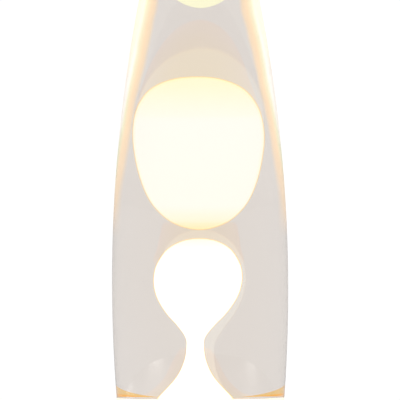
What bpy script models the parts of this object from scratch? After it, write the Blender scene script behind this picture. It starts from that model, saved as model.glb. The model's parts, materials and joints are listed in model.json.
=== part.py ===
"""Lava lamp: a spun aluminium foot, cup and cap round a tapered glass bottle of liquid and wax.

All sizes are in metres. The lamp stands on the plane Z = 0 with its axis on Z, and its
mains cord would leave through the grommet at the back, +Y.
"""
import math

import bmesh
import bpy
from mathutils import Matrix, Vector

# Clearances and mesh fineness
GAP = 0.0003                # between two pieces that rest on or pass each other
MERGE = 0.000001            # points nearer than this are one point
STEPS = 28                  # facets round the shells and the bottle
SMALL_STEPS = 16            # facets round the fittings inside
SIDE_STEPS = 9              # facets up the bottle's long side

# Foot: pads, weighted plate and spun shell
PAD_RADIUS = 0.006
PAD_HEIGHT = 0.0022
PAD_INSET = 0.0085          # from the plate's edge to a pad's centre
PAD_COUNT = 4
PLATE_THICKNESS = 0.002
PLATE_DISH_RADIUS = 0.015
PLATE_DISH_HEIGHT = 0.004
SLOT_COUNT = 8
SLOT_WIDTH = 0.003
SLOT_START = 0.022
SLOT_LENGTH = 0.014
SHELL_WALL = 0.0012
FOOT_RADIUS = 0.055
FOOT_LIFT = 0.001           # the skirt's edge above the table
FOOT_SKIRT = 0.003
WAIST_RADIUS = 0.0292
WAIST_HEIGHT = 0.060        # where the foot and the cup meet
NECK_HEIGHT = 0.006         # straight part of each shell at the waist
GROMMET_HEIGHT = 0.014

# Grommet
GROMMET_BORE = 0.003
GROMMET_NECK = 0.0047
GROMMET_FLANGE = 0.0072
GROMMET_RIM = 0.0015

# Threaded tube and its nuts
TUBE_RADIUS = 0.005
TUBE_BORE = 0.0035
NUT_ACROSS_CORNERS = 0.0162
NUT_HEIGHT = 0.003

# Holder bracket: strap and flared collar
BRIDGE_HEIGHT = 0.014
STRAP_WIDTH = 0.012
STRAP_THICKNESS = 0.0015
COLLAR_WALL = 0.0012
COLLAR_FLARE = 0.006
COLLAR_DROP = 0.001         # from the foot's neck bottom to the collar's lower edge

# Lamp holder
HOLDER_RADIUS = 0.0135
HOLDER_FLOOR = 0.003
HOLDER_DEPTH = 0.0118
INSERT_THICKNESS = 0.0035
HOLDER_WALL = 0.0015
SLEEVE_WALL = 0.0005
SLEEVE_FLANGE = 0.010
SLEEVE_HEIGHT = 0.0195
CONTACT_WIDTH = 0.004
CONTACT_REACH = 0.6         # of the sleeve's bore, each way
CONTACT_RISE = 0.003
CONTACT_THICKNESS = 0.0004

# Bulb: small screw reflector lamp
BULB_LENGTH = 0.066
BULB_RADIUS = 0.0195
BULB_NECK_RADIUS = 0.0098
BULB_NECK_SHARE = 0.47      # height of the neck's top, of the bulb's length
BULB_WALL = 0.0008
BULB_FILLET = 0.006
NECK_STEP = 0.001           # where the glass comes out of the cap's skirt
DOME_DROP = 0.0022          # from the dome's crown to its brow
DOME_SHARE = 0.72           # radius of the brow, of the bulb's
BELLY_SHARE = 0.55          # height of the dome over the widest ring, of the bulb's radius
TIP_RADIUS = 0.0024
TIP_HEIGHT = 0.0009
INSULATOR_RADIUS = 0.0028   # at its lower end
INSULATOR_PLUG = 0.002      # depth of its part inside the screw cap
SCREW_RADIUS = 0.0069
SCREW_WALL = 0.0004
SCREW_START = 0.005         # above the tip
SCREW_END = 0.019
SCREW_SKIRT = 0.025
SCREW_SKIRT_RADIUS = 0.0085
SCREW_CONE = 0.002          # height of the step between screw and skirt
THROAT_START = 0.0005       # bottom of the glass above that step
STEM_FLARE_RADIUS = 0.0035
STEM_FLARE_HEIGHT = 0.006
STEM_RADIUS = 0.0022
STEM_RISE = 0.004           # above the bulb's neck
FILAMENT_SPAN = 0.006       # each way
FILAMENT_LOOP = 0.0009
FILAMENT_RISE = 0.010
FILAMENT_FOOT = 0.0012      # each leg's distance from the axis
FILAMENT_WIRE = 0.0003
FILAMENT_QUARTERS = 12      # quarter turns along the coil
THREAD_PITCH = 0.00282
THREAD_TURNS = 4
BULB_HEADROOM = 0.0014      # left above the bulb when it is unscrewed

# Cup and seat ring
CUP_GRIP = 0.022            # how deep the bottle stands in the cup
CUP_LIP = 0.0009            # radius of the rolled lip
CUP_LIP_ANGLES = (150, 110, 70, 35, 0, -35, -70)    # round the lip, in degrees from its top
SEAT_OPENING_ROOM = 0.0055  # round the bulb
SEAT_THICKNESS = 0.0012
SEAT_FLANGE = 0.006
CUP_CLEARANCE = 0.0003      # between the cup and the bottle where they come nearest

# Bottle
BOTTLE_HEIGHT = 0.3107
BOTTLE_RADIUS = 0.04425
BOTTLE_BULGE = 0.0917       # height of the widest ring above the bottle's bottom
BOTTLE_WALL = 0.0024
BOTTLE_HEEL = 0.007
BOTTLE_FLOOR = 0.005
PUNT_DEPTH = 0.0025
PUNT_RADIUS = 0.022
SHOULDER_RADIUS = 0.0157
SHOULDER_DROP = 0.016       # below the mouth
NECK_RADIUS = 0.0124
MOUTH_BORE = 0.008
BEAD_RADIUS = 0.0142
BEAD_TOP = 0.0075           # below the mouth
BEAD_WIDTH = 0.0025
LOCK_RADIUS = 0.0133
LOCK_WIDTH = 0.003

# Crown cap and its liner
CROWN_FLUTES = 21
CROWN_WALL = 0.0004
CROWN_SKIRT = 0.0055
CROWN_RADIUS = 0.0156
CROWN_FLUTE_DEPTH = 0.0004
LINER_THICKNESS = 0.0006
LINER_RADIUS = 0.0128

# Heat coil on the bottle's floor
COIL_RADIUS = 0.026
COIL_LOOP = 0.0035
COIL_WIRE = 0.0008
COIL_TURNS = 20
COIL_POINTS = 6             # on each turn

# Wax and liquid. Outlines are (radius, height above the pool) for a column WAX_COLUMN high
POOL_DEPTH = 0.0307
HEADSPACE = 0.034           # air between the liquid and the mouth
WAX_COLUMN = 0.241
WAX_STEPS = 2               # facets between two outline points
POOL_WAX = ((0, 0.0789), (0.0112, 0.0745), (0.0165, 0.0600), (0.0149, 0.0506), (0.0109, 0.0426),
            (0.0068, 0.0366), (0.0036, 0.0306), (0.0033, 0.0256), (0.0041, 0.0186),
            (0.0071, 0.0106), (0.0142, 0.0003))
MIDDLE_WAX = ((0, 0.1583), (0.0133, 0.1545), (0.0218, 0.1440), (0.0245, 0.1296),
              (0.0218, 0.1086), (0.0163, 0.0936), (0.0092, 0.0867), (0, 0.0834))
MIDDLE_WAX_WAIST = 3        # the outline point where the drop is widest
WAX_LEAN = ((0.0, -0.0020), (0.0306, -0.0019), (0.0600, -0.0008), (0.0834, -0.0001),
            (0.1296, -0.0004), (0.1583, -0.0011), (0.1928, 0.0006), (0.2410, 0.0004))
TOP_WAX = ((0.0085, WAX_COLUMN), (0.0130, 0.2250), (0.0140, 0.2090), (0.0095, 0.1975), (0, 0.1928))

# Cap
CAP_OVERLAP = 0.057         # how far the cap reaches down the bottle
CAP_HEADROOM = 0.0079       # above the crown
CAP_SIDE_ROOM = 0.0009      # beside the crown
CAP_CORNER = 0.004

# Heights and radii that follow from the sizes above
plate_z = PAD_HEIGHT + GAP
plate_top_z = plate_z + PLATE_THICKNESS
dish_z = plate_z + PLATE_DISH_HEIGHT
bridge_top_z = BRIDGE_HEIGHT + STRAP_THICKNESS
upper_nut_z = bridge_top_z + GAP
holder_z = upper_nut_z + NUT_HEIGHT + GAP
insert_z = holder_z + HOLDER_FLOOR + GAP
insert_top_z = insert_z + INSERT_THICKNESS
tip_z = insert_top_z + GAP + CONTACT_RISE + GAP
bulb_top_z = tip_z + BULB_LENGTH
bottle_z = bulb_top_z + THREAD_TURNS * THREAD_PITCH + BULB_HEADROOM
seat_z = bottle_z - GAP
cup_top_z = seat_z + CUP_GRIP
mouth_z = bottle_z + BOTTLE_HEIGHT
bulge_z = bottle_z + BOTTLE_BULGE
shoulder_z = mouth_z - SHOULDER_DROP
floor_z = bottle_z + BOTTLE_FLOOR
pool_z = floor_z + POOL_DEPTH
level_z = mouth_z - HEADSPACE
side_start_z = bottle_z + 2 * BOTTLE_HEEL
crown_top_z = mouth_z + GAP + LINER_THICKNESS + GAP + CROWN_WALL
cap_z = mouth_z - CAP_OVERLAP
cap_top_z = crown_top_z + CAP_HEADROOM + SHELL_WALL

foot_cone_z = FOOT_LIFT + FOOT_SKIRT
foot_neck_z = WAIST_HEIGHT - NECK_HEIGHT
foot_slope = (FOOT_RADIUS - WAIST_RADIUS) / (foot_neck_z - foot_cone_z)
waist_bore = WAIST_RADIUS - SHELL_WALL
cup_cone_z = WAIST_HEIGHT + NECK_HEIGHT

# The bottle's side is one long arc from the heel to the shoulder, widest at the bulge
side_fall = BOTTLE_RADIUS - SHOULDER_RADIUS
side_rise = shoulder_z - bulge_z
side_arc = (side_rise ** 2 + side_fall ** 2) / (2 * side_fall)


def side_radius(height, inset=0.0):
    """Radius of the bottle's side at a height, measured inset into the glass."""
    centre = BOTTLE_RADIUS - side_arc
    return centre + math.sqrt((side_arc - inset) ** 2 - (height - bulge_z) ** 2)


# The cup's cone starts at the waist and is just wide enough to clear the bottle up to its lip
heel_top_z = bottle_z + BOTTLE_HEEL
cup_slope = max((side_radius(height) + CUP_CLEARANCE - waist_bore) / (height - cup_cone_z)
                for height in (heel_top_z, (heel_top_z + cup_top_z) / 2, cup_top_z))


def foot_bore(height):
    """Inner radius of the foot's cone at a height."""
    return FOOT_RADIUS - SHELL_WALL - foot_slope * (height - foot_cone_z)


def cup_bore(height):
    """Inner radius of the cup's cone at a height."""
    return waist_bore + cup_slope * (height - cup_cone_z)


def clear_scene():
    """Take every object out of the scene."""
    for item in list(bpy.data.objects):
        bpy.data.objects.remove(item, do_unlink=True)


def finish(name, colour, roughness, metallic=0.0, transmission=0.0):
    """Make a material, with its colour as linear red, green and blue."""
    material = bpy.data.materials.new(name)
    material.use_nodes = True
    shader = material.node_tree.nodes["Principled BSDF"]
    shader.inputs["Base Color"].default_value = (*colour, 1)
    shader.inputs["Roughness"].default_value = roughness
    shader.inputs["Metallic"].default_value = metallic
    shader.inputs["Transmission Weight"].default_value = transmission
    return material


def assembly(name, height=0.0, carrier=None):
    """Add an empty on the lamp's axis that the pieces of one moving group hang from."""
    empty = bpy.data.objects.new(name, None)
    bpy.context.scene.collection.objects.link(empty)
    if carrier:
        empty.parent = carrier
        height -= carrier.matrix_world.translation.z
    empty.location = (0, 0, height)
    bpy.context.view_layer.update()
    return empty


def add_piece(name, mesh, material, group):
    """Turn a bmesh in world coordinates into a smooth-shaded object under its group."""
    bmesh.ops.recalc_face_normals(mesh, faces=mesh.faces)
    mesh.transform(group.matrix_world.inverted())
    data = bpy.data.meshes.new(name)
    mesh.to_mesh(data)
    mesh.free()
    data.materials.append(material)
    data.shade_smooth()
    data.set_sharp_from_angle(angle=math.radians(40))
    piece = bpy.data.objects.new(name, data)
    piece.parent = group
    bpy.context.scene.collection.objects.link(piece)
    return piece


def turned(outline, steps):
    """Spin an outline of (radius, height) points round Z and return the bmesh.

    An outline that starts on the axis also ends there. Any other one closes on itself.
    """
    mesh = bmesh.new()
    points = [mesh.verts.new((radius, 0, height)) for radius, height in outline]
    pairs = list(zip(points, points[1:]))
    if outline[0][0] > MERGE:
        pairs.append((points[-1], points[0]))
    edges = [mesh.edges.new(pair) for pair in pairs]
    bmesh.ops.spin(mesh, geom=points + edges, axis=(0, 0, 1), cent=(0, 0, 0),
                   angle=math.tau, steps=steps)
    bmesh.ops.remove_doubles(mesh, verts=mesh.verts, dist=MERGE)
    return mesh


def rounded(*corners, segments=3):
    """Return an outline, with an arc at each corner given as (radius, height, fillet)."""
    outline = []
    for index, corner in enumerate(corners):
        if len(corner) == 2:
            outline.append(corner)
            continue
        here = Vector(corner[:2])
        neighbours = [corners[index - 1], corners[(index + 1) % len(corners)]]
        back, ahead = [Vector(other[:2]) - here for other in neighbours]
        half = back.angle(ahead) / 2
        room = [side.length * (0.9 if len(other) == 2 else 0.45)
                for side, other in zip((back, ahead), neighbours)]
        reach = min(corner[2] / math.tan(half), *room)
        centre = here + (back.normalized() + ahead.normalized()).normalized() * reach / math.cos(half)
        spoke = here + back.normalized() * reach - centre
        sweep = spoke.angle_signed(here + ahead.normalized() * reach - centre)
        for step in range(segments + 1):
            point = centre + Matrix.Rotation(-sweep * step / segments, 2) @ spoke
            outline.append((point.x, point.y))
    return outline


def prism(sides, radius, low, high):
    """Return the bmesh of an upright prism on the axis."""
    mesh = bmesh.new()
    bmesh.ops.create_cone(mesh, cap_ends=True, segments=sides, radius1=radius, radius2=radius,
                          depth=high - low, matrix=Matrix.Translation((0, 0, (low + high) / 2)))
    return mesh


def add_box(mesh, low, high):
    """Add a box between two corners to a bmesh."""
    low, high = Vector(low), Vector(high)
    frame = Matrix.Translation((low + high) / 2) @ Matrix.Diagonal((*(high - low), 1))
    bmesh.ops.create_cube(mesh, matrix=frame)
    return mesh


def hidden_tool(name, mesh):
    """Keep a bmesh as an object that only cuts or joins another one."""
    data = bpy.data.meshes.new(name)
    mesh.to_mesh(data)
    mesh.free()
    tool = bpy.data.objects.new(name, data)
    tool.hide_render = True
    tool.display_type = "WIRE"
    bpy.context.scene.collection.objects.link(tool)
    return tool


def shape_with(piece, tool, operation):
    """Cut a piece with a hidden tool, or join the tool to it."""
    modifier = piece.modifiers.new(tool.name, "BOOLEAN")
    modifier.operation = operation
    modifier.object = tool
    modifier.solver = "EXACT"


def smooth(points, steps):
    """Run a smooth curve through a few outline points.

    At an end on the axis the curve crosses the axis level, so the turned tip is round.
    """
    def beyond(end, inner):
        if end.x < MERGE:
            return Vector((-inner.x, inner.y))
        return 2 * end - inner

    path = [Vector(point) for point in points]
    path = [beyond(path[0], path[1])] + path + [beyond(path[-1], path[-2])]
    curve = []
    for a, b, c, d in zip(path, path[1:], path[2:], path[3:]):
        for step in range(steps):
            t = step / steps
            point = 0.5 * (2 * b + (c - a) * t + (2 * a - 5 * b + 4 * c - d) * t ** 2
                           + (3 * b - a - 3 * c + d) * t ** 3)
            curve.append((max(point.x, 0), point.y))
    curve.append(tuple(path[-2]))
    return curve


def grown(outline, clearance):
    """Move a wax outline outwards by a clearance, where the wax is on its left going down."""
    moved = []
    last = len(outline) - 1
    for index, (radius, height) in enumerate(outline):
        before = Vector(outline[max(index - 1, 0)])
        after = Vector(outline[min(index + 1, last)])
        along = (after - before).normalized()
        outward = Vector((-along.y, along.x))
        if radius < MERGE:
            outward = Vector((0, 1 if index == 0 else -1))
        moved.append((radius + outward.x * clearance, height + outward.y * clearance))
    return moved


def at_height(points):
    """Place wax outline points in the bottle, stretched to the liquid's real height."""
    stretch = (level_z - pool_z) / WAX_COLUMN
    return [(radius, pool_z + height * stretch) for radius, height in points]


def leaned(mesh):
    """Shift the wax above the pool, or the hollow that it fills, sideways as it drifts."""
    stretch = (level_z - pool_z) / WAX_COLUMN
    placed = [(pool_z + height * stretch, shift) for height, shift in WAX_LEAN]
    for corner in mesh.verts:
        height = corner.co.z
        on_wall = corner.co.xy.length > side_radius(height, BOTTLE_WALL + 2 * GAP)
        if on_wall or height < pool_z - GAP:
            continue
        for (low, low_shift), (high, high_shift) in zip(placed, placed[1:]):
            if height <= high or high == placed[-1][0]:
                share = min(max((height - low) / (high - low), 0), 1)
                corner.co.x += low_shift + (high_shift - low_shift) * share
                break
    return mesh


# Foot -------------------------------------------------------------------------------

plate_radius = foot_bore(plate_top_z) - GAP


def add_pads(group, rubber):
    """Stick-on rubber pads that the lamp stands on."""
    reach = plate_radius - PAD_INSET
    for number in range(PAD_COUNT):
        angle = math.tau * (number + 0.5) / PAD_COUNT
        mesh = prism(SMALL_STEPS, PAD_RADIUS, 0, PAD_HEIGHT)
        mesh.transform(Matrix.Translation((reach * math.cos(angle), reach * math.sin(angle), 0)))
        add_piece(f"foot_pad_{number + 1}", mesh, rubber, group)


def add_bottom_plate(group, steel):
    """Heavy steel plate, dished up round its hole so that the nut hides under it."""
    dish_top_z = dish_z + PLATE_THICKNESS
    hole = TUBE_RADIUS + GAP
    slope = PLATE_DISH_HEIGHT
    outline = [(plate_radius, plate_z), (plate_radius, plate_top_z),
               (PLATE_DISH_RADIUS + slope, plate_top_z), (PLATE_DISH_RADIUS, dish_top_z),
               (hole, dish_top_z), (hole, dish_z),
               (PLATE_DISH_RADIUS - PLATE_THICKNESS / 2, dish_z),
               (PLATE_DISH_RADIUS + slope - PLATE_THICKNESS / 2, plate_z)]
    plate = add_piece("bottom_plate", turned(outline, STEPS), steel, group)
    for number in range(SLOT_COUNT // 2):
        slot = bmesh.new()
        for start in (SLOT_START, -SLOT_START - SLOT_LENGTH):
            low = Vector((start, -SLOT_WIDTH / 2, plate_z - PLATE_THICKNESS))
            high = Vector((start + SLOT_LENGTH, SLOT_WIDTH / 2, plate_top_z + PLATE_THICKNESS))
            add_box(slot, low, high)
        slot.transform(Matrix.Rotation(math.tau * (number + 0.5) / SLOT_COUNT, 4, "Z"))
        shape_with(plate, hidden_tool(f"slot_{number + 1}", slot), "DIFFERENCE")


def grommet_frame():
    """Frame on the foot's outside with Z out of the wall, where the cord leaves."""
    lean = math.atan(foot_slope)
    radius = foot_bore(GROMMET_HEIGHT) + SHELL_WALL
    return Matrix.Translation((0, radius, GROMMET_HEIGHT)) @ Matrix.Rotation(lean - math.pi / 2, 4, "X")


def add_foot_shell(group, aluminium):
    """Spun cone from the table up to the waist, with a hole for the grommet."""
    outline = rounded((FOOT_RADIUS, FOOT_LIFT), (FOOT_RADIUS, foot_cone_z, SHELL_WALL * 2),
                      (WAIST_RADIUS, foot_neck_z, SHELL_WALL * 6),
                      (WAIST_RADIUS, WAIST_HEIGHT - GAP / 2),
                      (waist_bore, WAIST_HEIGHT - GAP / 2),
                      (waist_bore, foot_neck_z, SHELL_WALL * 6),
                      (FOOT_RADIUS - SHELL_WALL, foot_cone_z, SHELL_WALL * 2),
                      (FOOT_RADIUS - SHELL_WALL, FOOT_LIFT))
    shell = add_piece("foot_shell", turned(outline, STEPS), aluminium, group)
    hole = prism(SMALL_STEPS, GROMMET_NECK + GAP, -4 * SHELL_WALL, 3 * SHELL_WALL)
    hole.transform(grommet_frame())
    shape_with(shell, hidden_tool("grommet_hole", hole), "DIFFERENCE")


def add_grommet(group, rubber):
    """Rubber bush in the foot's wall, gripped between its two flanges."""
    facet_sag = GROMMET_FLANGE * math.tan(math.pi / STEPS)
    inside = -SHELL_WALL - facet_sag - GAP
    outline = [(GROMMET_BORE, inside - GROMMET_RIM), (GROMMET_FLANGE - GROMMET_RIM / 2, inside - GROMMET_RIM),
               (GROMMET_FLANGE - GROMMET_RIM / 2, inside), (GROMMET_NECK, inside), (GROMMET_NECK, GAP),
               (GROMMET_FLANGE, GAP), (GROMMET_FLANGE - GROMMET_RIM / 2, GAP + GROMMET_RIM),
               (GROMMET_BORE, GAP + GROMMET_RIM)]
    mesh = turned(outline, SMALL_STEPS)
    mesh.transform(grommet_frame())
    add_piece("cord_grommet", mesh, rubber, group)


def add_nut(name, low, group, steel):
    """Thin hexagon nut on the threaded tube."""
    nut = add_piece(name, prism(6, NUT_ACROSS_CORNERS / 2, low, low + NUT_HEIGHT), steel, group)
    hole = prism(SMALL_STEPS, TUBE_RADIUS + GAP, low - NUT_HEIGHT, low + 2 * NUT_HEIGHT)
    shape_with(nut, hidden_tool(name + "_hole", hole), "DIFFERENCE")


def add_threaded_tube(group, steel):
    """Hollow rod that ties the plate, the bracket and the lamp holder together."""
    low = plate_z + GAP
    high = insert_z - 2 * GAP
    outline = [(TUBE_BORE, low), (TUBE_RADIUS, low), (TUBE_RADIUS, high), (TUBE_BORE, high)]
    add_piece("threaded_tube", turned(outline, SMALL_STEPS), steel, group)


def add_holder_bracket(group, steel):
    """Flared collar that draws the cup onto the foot, with a strap across below it."""
    outer = waist_bore - GAP
    inner = outer - COLLAR_WALL
    low = foot_neck_z + COLLAR_DROP
    flare = cup_slope * COLLAR_FLARE
    flare_z = cup_cone_z + COLLAR_FLARE
    outline = [(outer, low), (outer, cup_cone_z), (outer + flare, flare_z),
               (inner + flare, flare_z), (inner, cup_cone_z), (inner, low)]
    bracket = add_piece("holder_bracket", turned(outline, STEPS), steel, group)
    half = STRAP_WIDTH / 2
    reach = math.sqrt((outer * math.cos(math.pi / STEPS)) ** 2 - half ** 2) - GAP
    top = low + NECK_HEIGHT
    strap = hidden_tool("strap", add_box(bmesh.new(), (-reach, -half, BRIDGE_HEIGHT), (reach, half, top)))
    window = add_box(bmesh.new(), (STRAP_THICKNESS - reach, -STRAP_WIDTH, bridge_top_z),
                     (reach - STRAP_THICKNESS, STRAP_WIDTH, top + STRAP_THICKNESS))
    shape_with(strap, hidden_tool("strap_window", window), "DIFFERENCE")
    hole = prism(SMALL_STEPS, TUBE_RADIUS + GAP, BRIDGE_HEIGHT - STRAP_THICKNESS,
                 bridge_top_z + STRAP_THICKNESS)
    shape_with(strap, hidden_tool("strap_hole", hole), "DIFFERENCE")
    shape_with(bracket, strap, "UNION")


# Cup --------------------------------------------------------------------------------

def add_cup_shell(group, aluminium):
    """Spun cone from the waist up to a rolled lip round the bottle."""
    rim = cup_bore(cup_top_z)
    lip = [(rim + SHELL_WALL / 2 + CUP_LIP * math.sin(angle), cup_top_z - CUP_LIP * (1 - math.cos(angle)))
           for angle in map(math.radians, CUP_LIP_ANGLES)]
    outline = rounded((waist_bore, WAIST_HEIGHT + GAP / 2), (WAIST_RADIUS, WAIST_HEIGHT + GAP / 2),
                      (WAIST_RADIUS, cup_cone_z, SHELL_WALL * 4),
                      *lip,
                      (waist_bore, cup_cone_z))
    add_piece("cup_shell", turned(outline, STEPS), aluminium, group)


def add_seat_ring(group, steel):
    """Pressed ring that jams in the cone and carries the bottle's bottom."""
    opening = BULB_RADIUS + SEAT_OPENING_ROOM
    low = seat_z - SEAT_FLANGE
    outline = [(opening, seat_z - SEAT_THICKNESS), (opening, seat_z),
               (cup_bore(seat_z) - GAP, seat_z), (cup_bore(low) - GAP, low),
               (cup_bore(low) - GAP - SEAT_THICKNESS, low),
               (cup_bore(seat_z - SEAT_THICKNESS) - GAP - SEAT_THICKNESS, seat_z - SEAT_THICKNESS)]
    add_piece("seat_ring", turned(outline, STEPS), steel, group)


# Lamp holder ------------------------------------------------------------------------

def add_lamp_holder(group, phenolic, ceramic, brass):
    """Screw lamp holder: base cup, outer sleeve, ceramic insert and two contacts."""
    cup_top = holder_z + HOLDER_DEPTH
    cup_bore_radius = HOLDER_RADIUS - HOLDER_WALL
    outline = [(TUBE_RADIUS + GAP, holder_z), (HOLDER_RADIUS, holder_z), (HOLDER_RADIUS, cup_top),
               (cup_bore_radius, cup_top), (cup_bore_radius, holder_z + HOLDER_FLOOR),
               (TUBE_RADIUS + GAP, holder_z + HOLDER_FLOOR)]
    add_piece("lampholder_base", turned(outline, SMALL_STEPS), phenolic, group)

    outline = [(0, insert_z), (cup_bore_radius - GAP, insert_z),
               (cup_bore_radius - GAP, insert_top_z), (0, insert_top_z)]
    add_piece("contact_insert", turned(outline, SMALL_STEPS), ceramic, group)

    sleeve_bore = SCREW_RADIUS + GAP
    sleeve_radius = sleeve_bore + SLEEVE_WALL
    low = insert_top_z + GAP
    outline = [(sleeve_bore, low), (SLEEVE_FLANGE, low), (SLEEVE_FLANGE, low + SLEEVE_WALL),
               (sleeve_radius, low + SLEEVE_WALL), (sleeve_radius, low + SLEEVE_HEIGHT),
               (sleeve_bore, low + SLEEVE_HEIGHT)]
    add_piece("screw_contact", turned(outline, SMALL_STEPS), brass, group)

    inner = HOLDER_RADIUS + GAP
    outer = inner + HOLDER_WALL
    top = low + SLEEVE_HEIGHT + GAP + HOLDER_WALL
    start = cup_top - HOLDER_DEPTH / 2
    outline = rounded((inner, start), (outer, start), (outer, top, HOLDER_WALL),
                      (sleeve_radius + GAP, top), (sleeve_radius + GAP, top - HOLDER_WALL),
                      (inner, top - HOLDER_WALL))
    add_piece("lampholder_shell", turned(outline, SMALL_STEPS), phenolic, group)

    reach = sleeve_bore * CONTACT_REACH
    half = reach / 2
    thick = CONTACT_THICKNESS
    crest = low + CONTACT_RISE
    bent_strip = [(-reach, low), (reach, low), (-half, crest - thick), (half, crest - thick), (half, crest),
                  (-half - 3 * thick, crest), (reach - 4 * thick, low + thick), (-reach, low + thick)]
    mesh = bmesh.new()
    face = mesh.faces.new([mesh.verts.new((x, -CONTACT_WIDTH / 2, z)) for x, z in bent_strip])
    side = bmesh.ops.extrude_face_region(mesh, geom=[face])["geom"]
    moved = [part for part in side if isinstance(part, bmesh.types.BMVert)]
    bmesh.ops.translate(mesh, verts=moved, vec=(0, CONTACT_WIDTH, 0))
    add_piece("centre_contact", mesh, brass, group)


# Bulb -------------------------------------------------------------------------------

def add_bulb_tip(group, brass):
    """Solder tip at the middle of the bulb's screw cap."""
    outline = [(0, tip_z), (TIP_RADIUS * 2 / 3, tip_z + TIP_HEIGHT / 4.5), (TIP_RADIUS, tip_z + TIP_HEIGHT),
               (0, tip_z + TIP_HEIGHT)]
    add_piece("bulb_tip", turned(outline, SMALL_STEPS), brass, group)


def add_bulb(group, brass, glass_black, glass, tungsten):
    """Small reflector bulb: screw cap, insulator, envelope, stem and filament."""
    low = tip_z + SCREW_START
    turn = tip_z + SCREW_END
    top = tip_z + SCREW_SKIRT
    bore = SCREW_RADIUS - SCREW_WALL
    outline = [(bore, low), (SCREW_RADIUS, low), (SCREW_RADIUS, turn),
               (SCREW_SKIRT_RADIUS, turn + SCREW_CONE), (SCREW_SKIRT_RADIUS, top),
               (SCREW_SKIRT_RADIUS - SCREW_WALL, top), (SCREW_SKIRT_RADIUS - SCREW_WALL, turn + SCREW_CONE),
               (bore, turn)]
    add_piece("bulb_screw_cap", turned(outline, SMALL_STEPS), brass, group)

    start = tip_z + TIP_HEIGHT + GAP
    plug_z = low + INSULATOR_PLUG
    outline = [(0, start), (INSULATOR_RADIUS, start), (bore - GAP, low), (bore - GAP, plug_z), (0, plug_z)]
    add_piece("bulb_insulator", turned(outline, SMALL_STEPS), glass_black, group)

    throat = SCREW_SKIRT_RADIUS - SCREW_WALL - GAP
    start = turn + SCREW_CONE + THROAT_START
    neck_top = tip_z + BULB_LENGTH * BULB_NECK_SHARE
    envelope = [bulb_outline(throat, start, top, neck_top, inset) for inset in (0, BULB_WALL)]
    add_piece("bulb_envelope", turned(envelope[0] + envelope[1][::-1], SMALL_STEPS), glass, group)

    stem_top = neck_top + STEM_RISE
    outline = [(0, start), (throat - BULB_WALL - GAP, start), (STEM_FLARE_RADIUS, start + STEM_FLARE_HEIGHT),
               (STEM_RADIUS, stem_top), (0, stem_top)]
    add_piece("bulb_stem", turned(outline, SMALL_STEPS), glass, group)

    foot = stem_top + GAP
    axis_z = foot + FILAMENT_RISE
    path = [Vector((-FILAMENT_FOOT, 0, foot))]
    for step in range(FILAMENT_QUARTERS + 1):
        angle = step * math.pi / 2
        path.append(Vector((FILAMENT_SPAN * (2 * step / FILAMENT_QUARTERS - 1), FILAMENT_LOOP * math.sin(angle),
                            axis_z + FILAMENT_LOOP * math.cos(angle))))
    path.append(Vector((FILAMENT_FOOT, 0, foot)))
    add_wire("filament", path, FILAMENT_WIRE, False, tungsten, group)


def bulb_outline(throat, start, top, neck_top, inset):
    """Outline of the bulb's glass from the crown of its dome down to its throat."""
    return rounded((0, bulb_top_z - inset),
                   (BULB_RADIUS * DOME_SHARE - inset, bulb_top_z - DOME_DROP - inset, BULB_FILLET),
                   (BULB_RADIUS - inset, bulb_top_z - BULB_RADIUS * BELLY_SHARE, BULB_FILLET),
                   (BULB_NECK_RADIUS - inset, neck_top, BULB_FILLET * 4 / 3),
                   (BULB_NECK_RADIUS - inset, top + 3 * NECK_STEP, BULB_FILLET / 3),
                   (throat - inset, top + NECK_STEP), (throat - inset, start))


def add_wire(name, path, thickness, closed, material, group):
    """Add a round wire along a list of points."""
    curve = bpy.data.curves.new(name, "CURVE")
    curve.dimensions = "3D"
    curve.bevel_depth = thickness
    curve.bevel_resolution = 0
    curve.use_fill_caps = not closed
    spline = curve.splines.new("POLY")
    spline.points.add(len(path) - 1)
    spline.use_cyclic_u = closed
    into_group = group.matrix_world.inverted()
    for point, place in zip(spline.points, path):
        point.co = (*(into_group @ place), 1)
    curve.materials.append(material)
    wire = bpy.data.objects.new(name, curve)
    wire.parent = group
    bpy.context.scene.collection.objects.link(wire)


# Bottle -----------------------------------------------------------------------------

def side_points(low, high, count, inset):
    """Points up the bottle's side between two heights."""
    heights = [low + (high - low) * step / count for step in range(count + 1)]
    return [(side_radius(height, inset), height) for height in heights]


def add_bottle(group, glass):
    """Blown glass bottle: punt, heel, long arched side, neck bead and crown ring."""
    punt = [(PUNT_RADIUS * step / 4, bottle_z + PUNT_DEPTH * (1 - (step / 4) ** 2)) for step in range(5)]
    side = side_points(side_start_z, shoulder_z, SIDE_STEPS, 0)
    bead_low = mouth_z - BEAD_TOP - BEAD_WIDTH
    outside = rounded(*punt, (side_radius(bottle_z), bottle_z, BOTTLE_HEEL), *side,
                      (NECK_RADIUS, bead_low - BEAD_WIDTH),
                      (NECK_RADIUS, bead_low), (BEAD_RADIUS, bead_low + BEAD_WIDTH / 4),
                      (BEAD_RADIUS, mouth_z - BEAD_TOP - BEAD_WIDTH / 4), (NECK_RADIUS, mouth_z - BEAD_TOP),
                      (NECK_RADIUS, mouth_z - LOCK_WIDTH * 1.3), (LOCK_RADIUS, mouth_z - LOCK_WIDTH),
                      (LOCK_RADIUS, mouth_z, LOCK_WIDTH / 4), (MOUTH_BORE, mouth_z))
    inner_side = side_points(side_start_z, shoulder_z, SIDE_STEPS, BOTTLE_WALL)
    inside = rounded((0, floor_z), (side_radius(floor_z, BOTTLE_WALL), floor_z, BOTTLE_HEEL - BOTTLE_WALL),
                     *inner_side, (MOUTH_BORE, bead_low), segments=2)
    add_piece("glass_bottle", turned(outside + inside[::-1], STEPS), glass, group)


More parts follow.
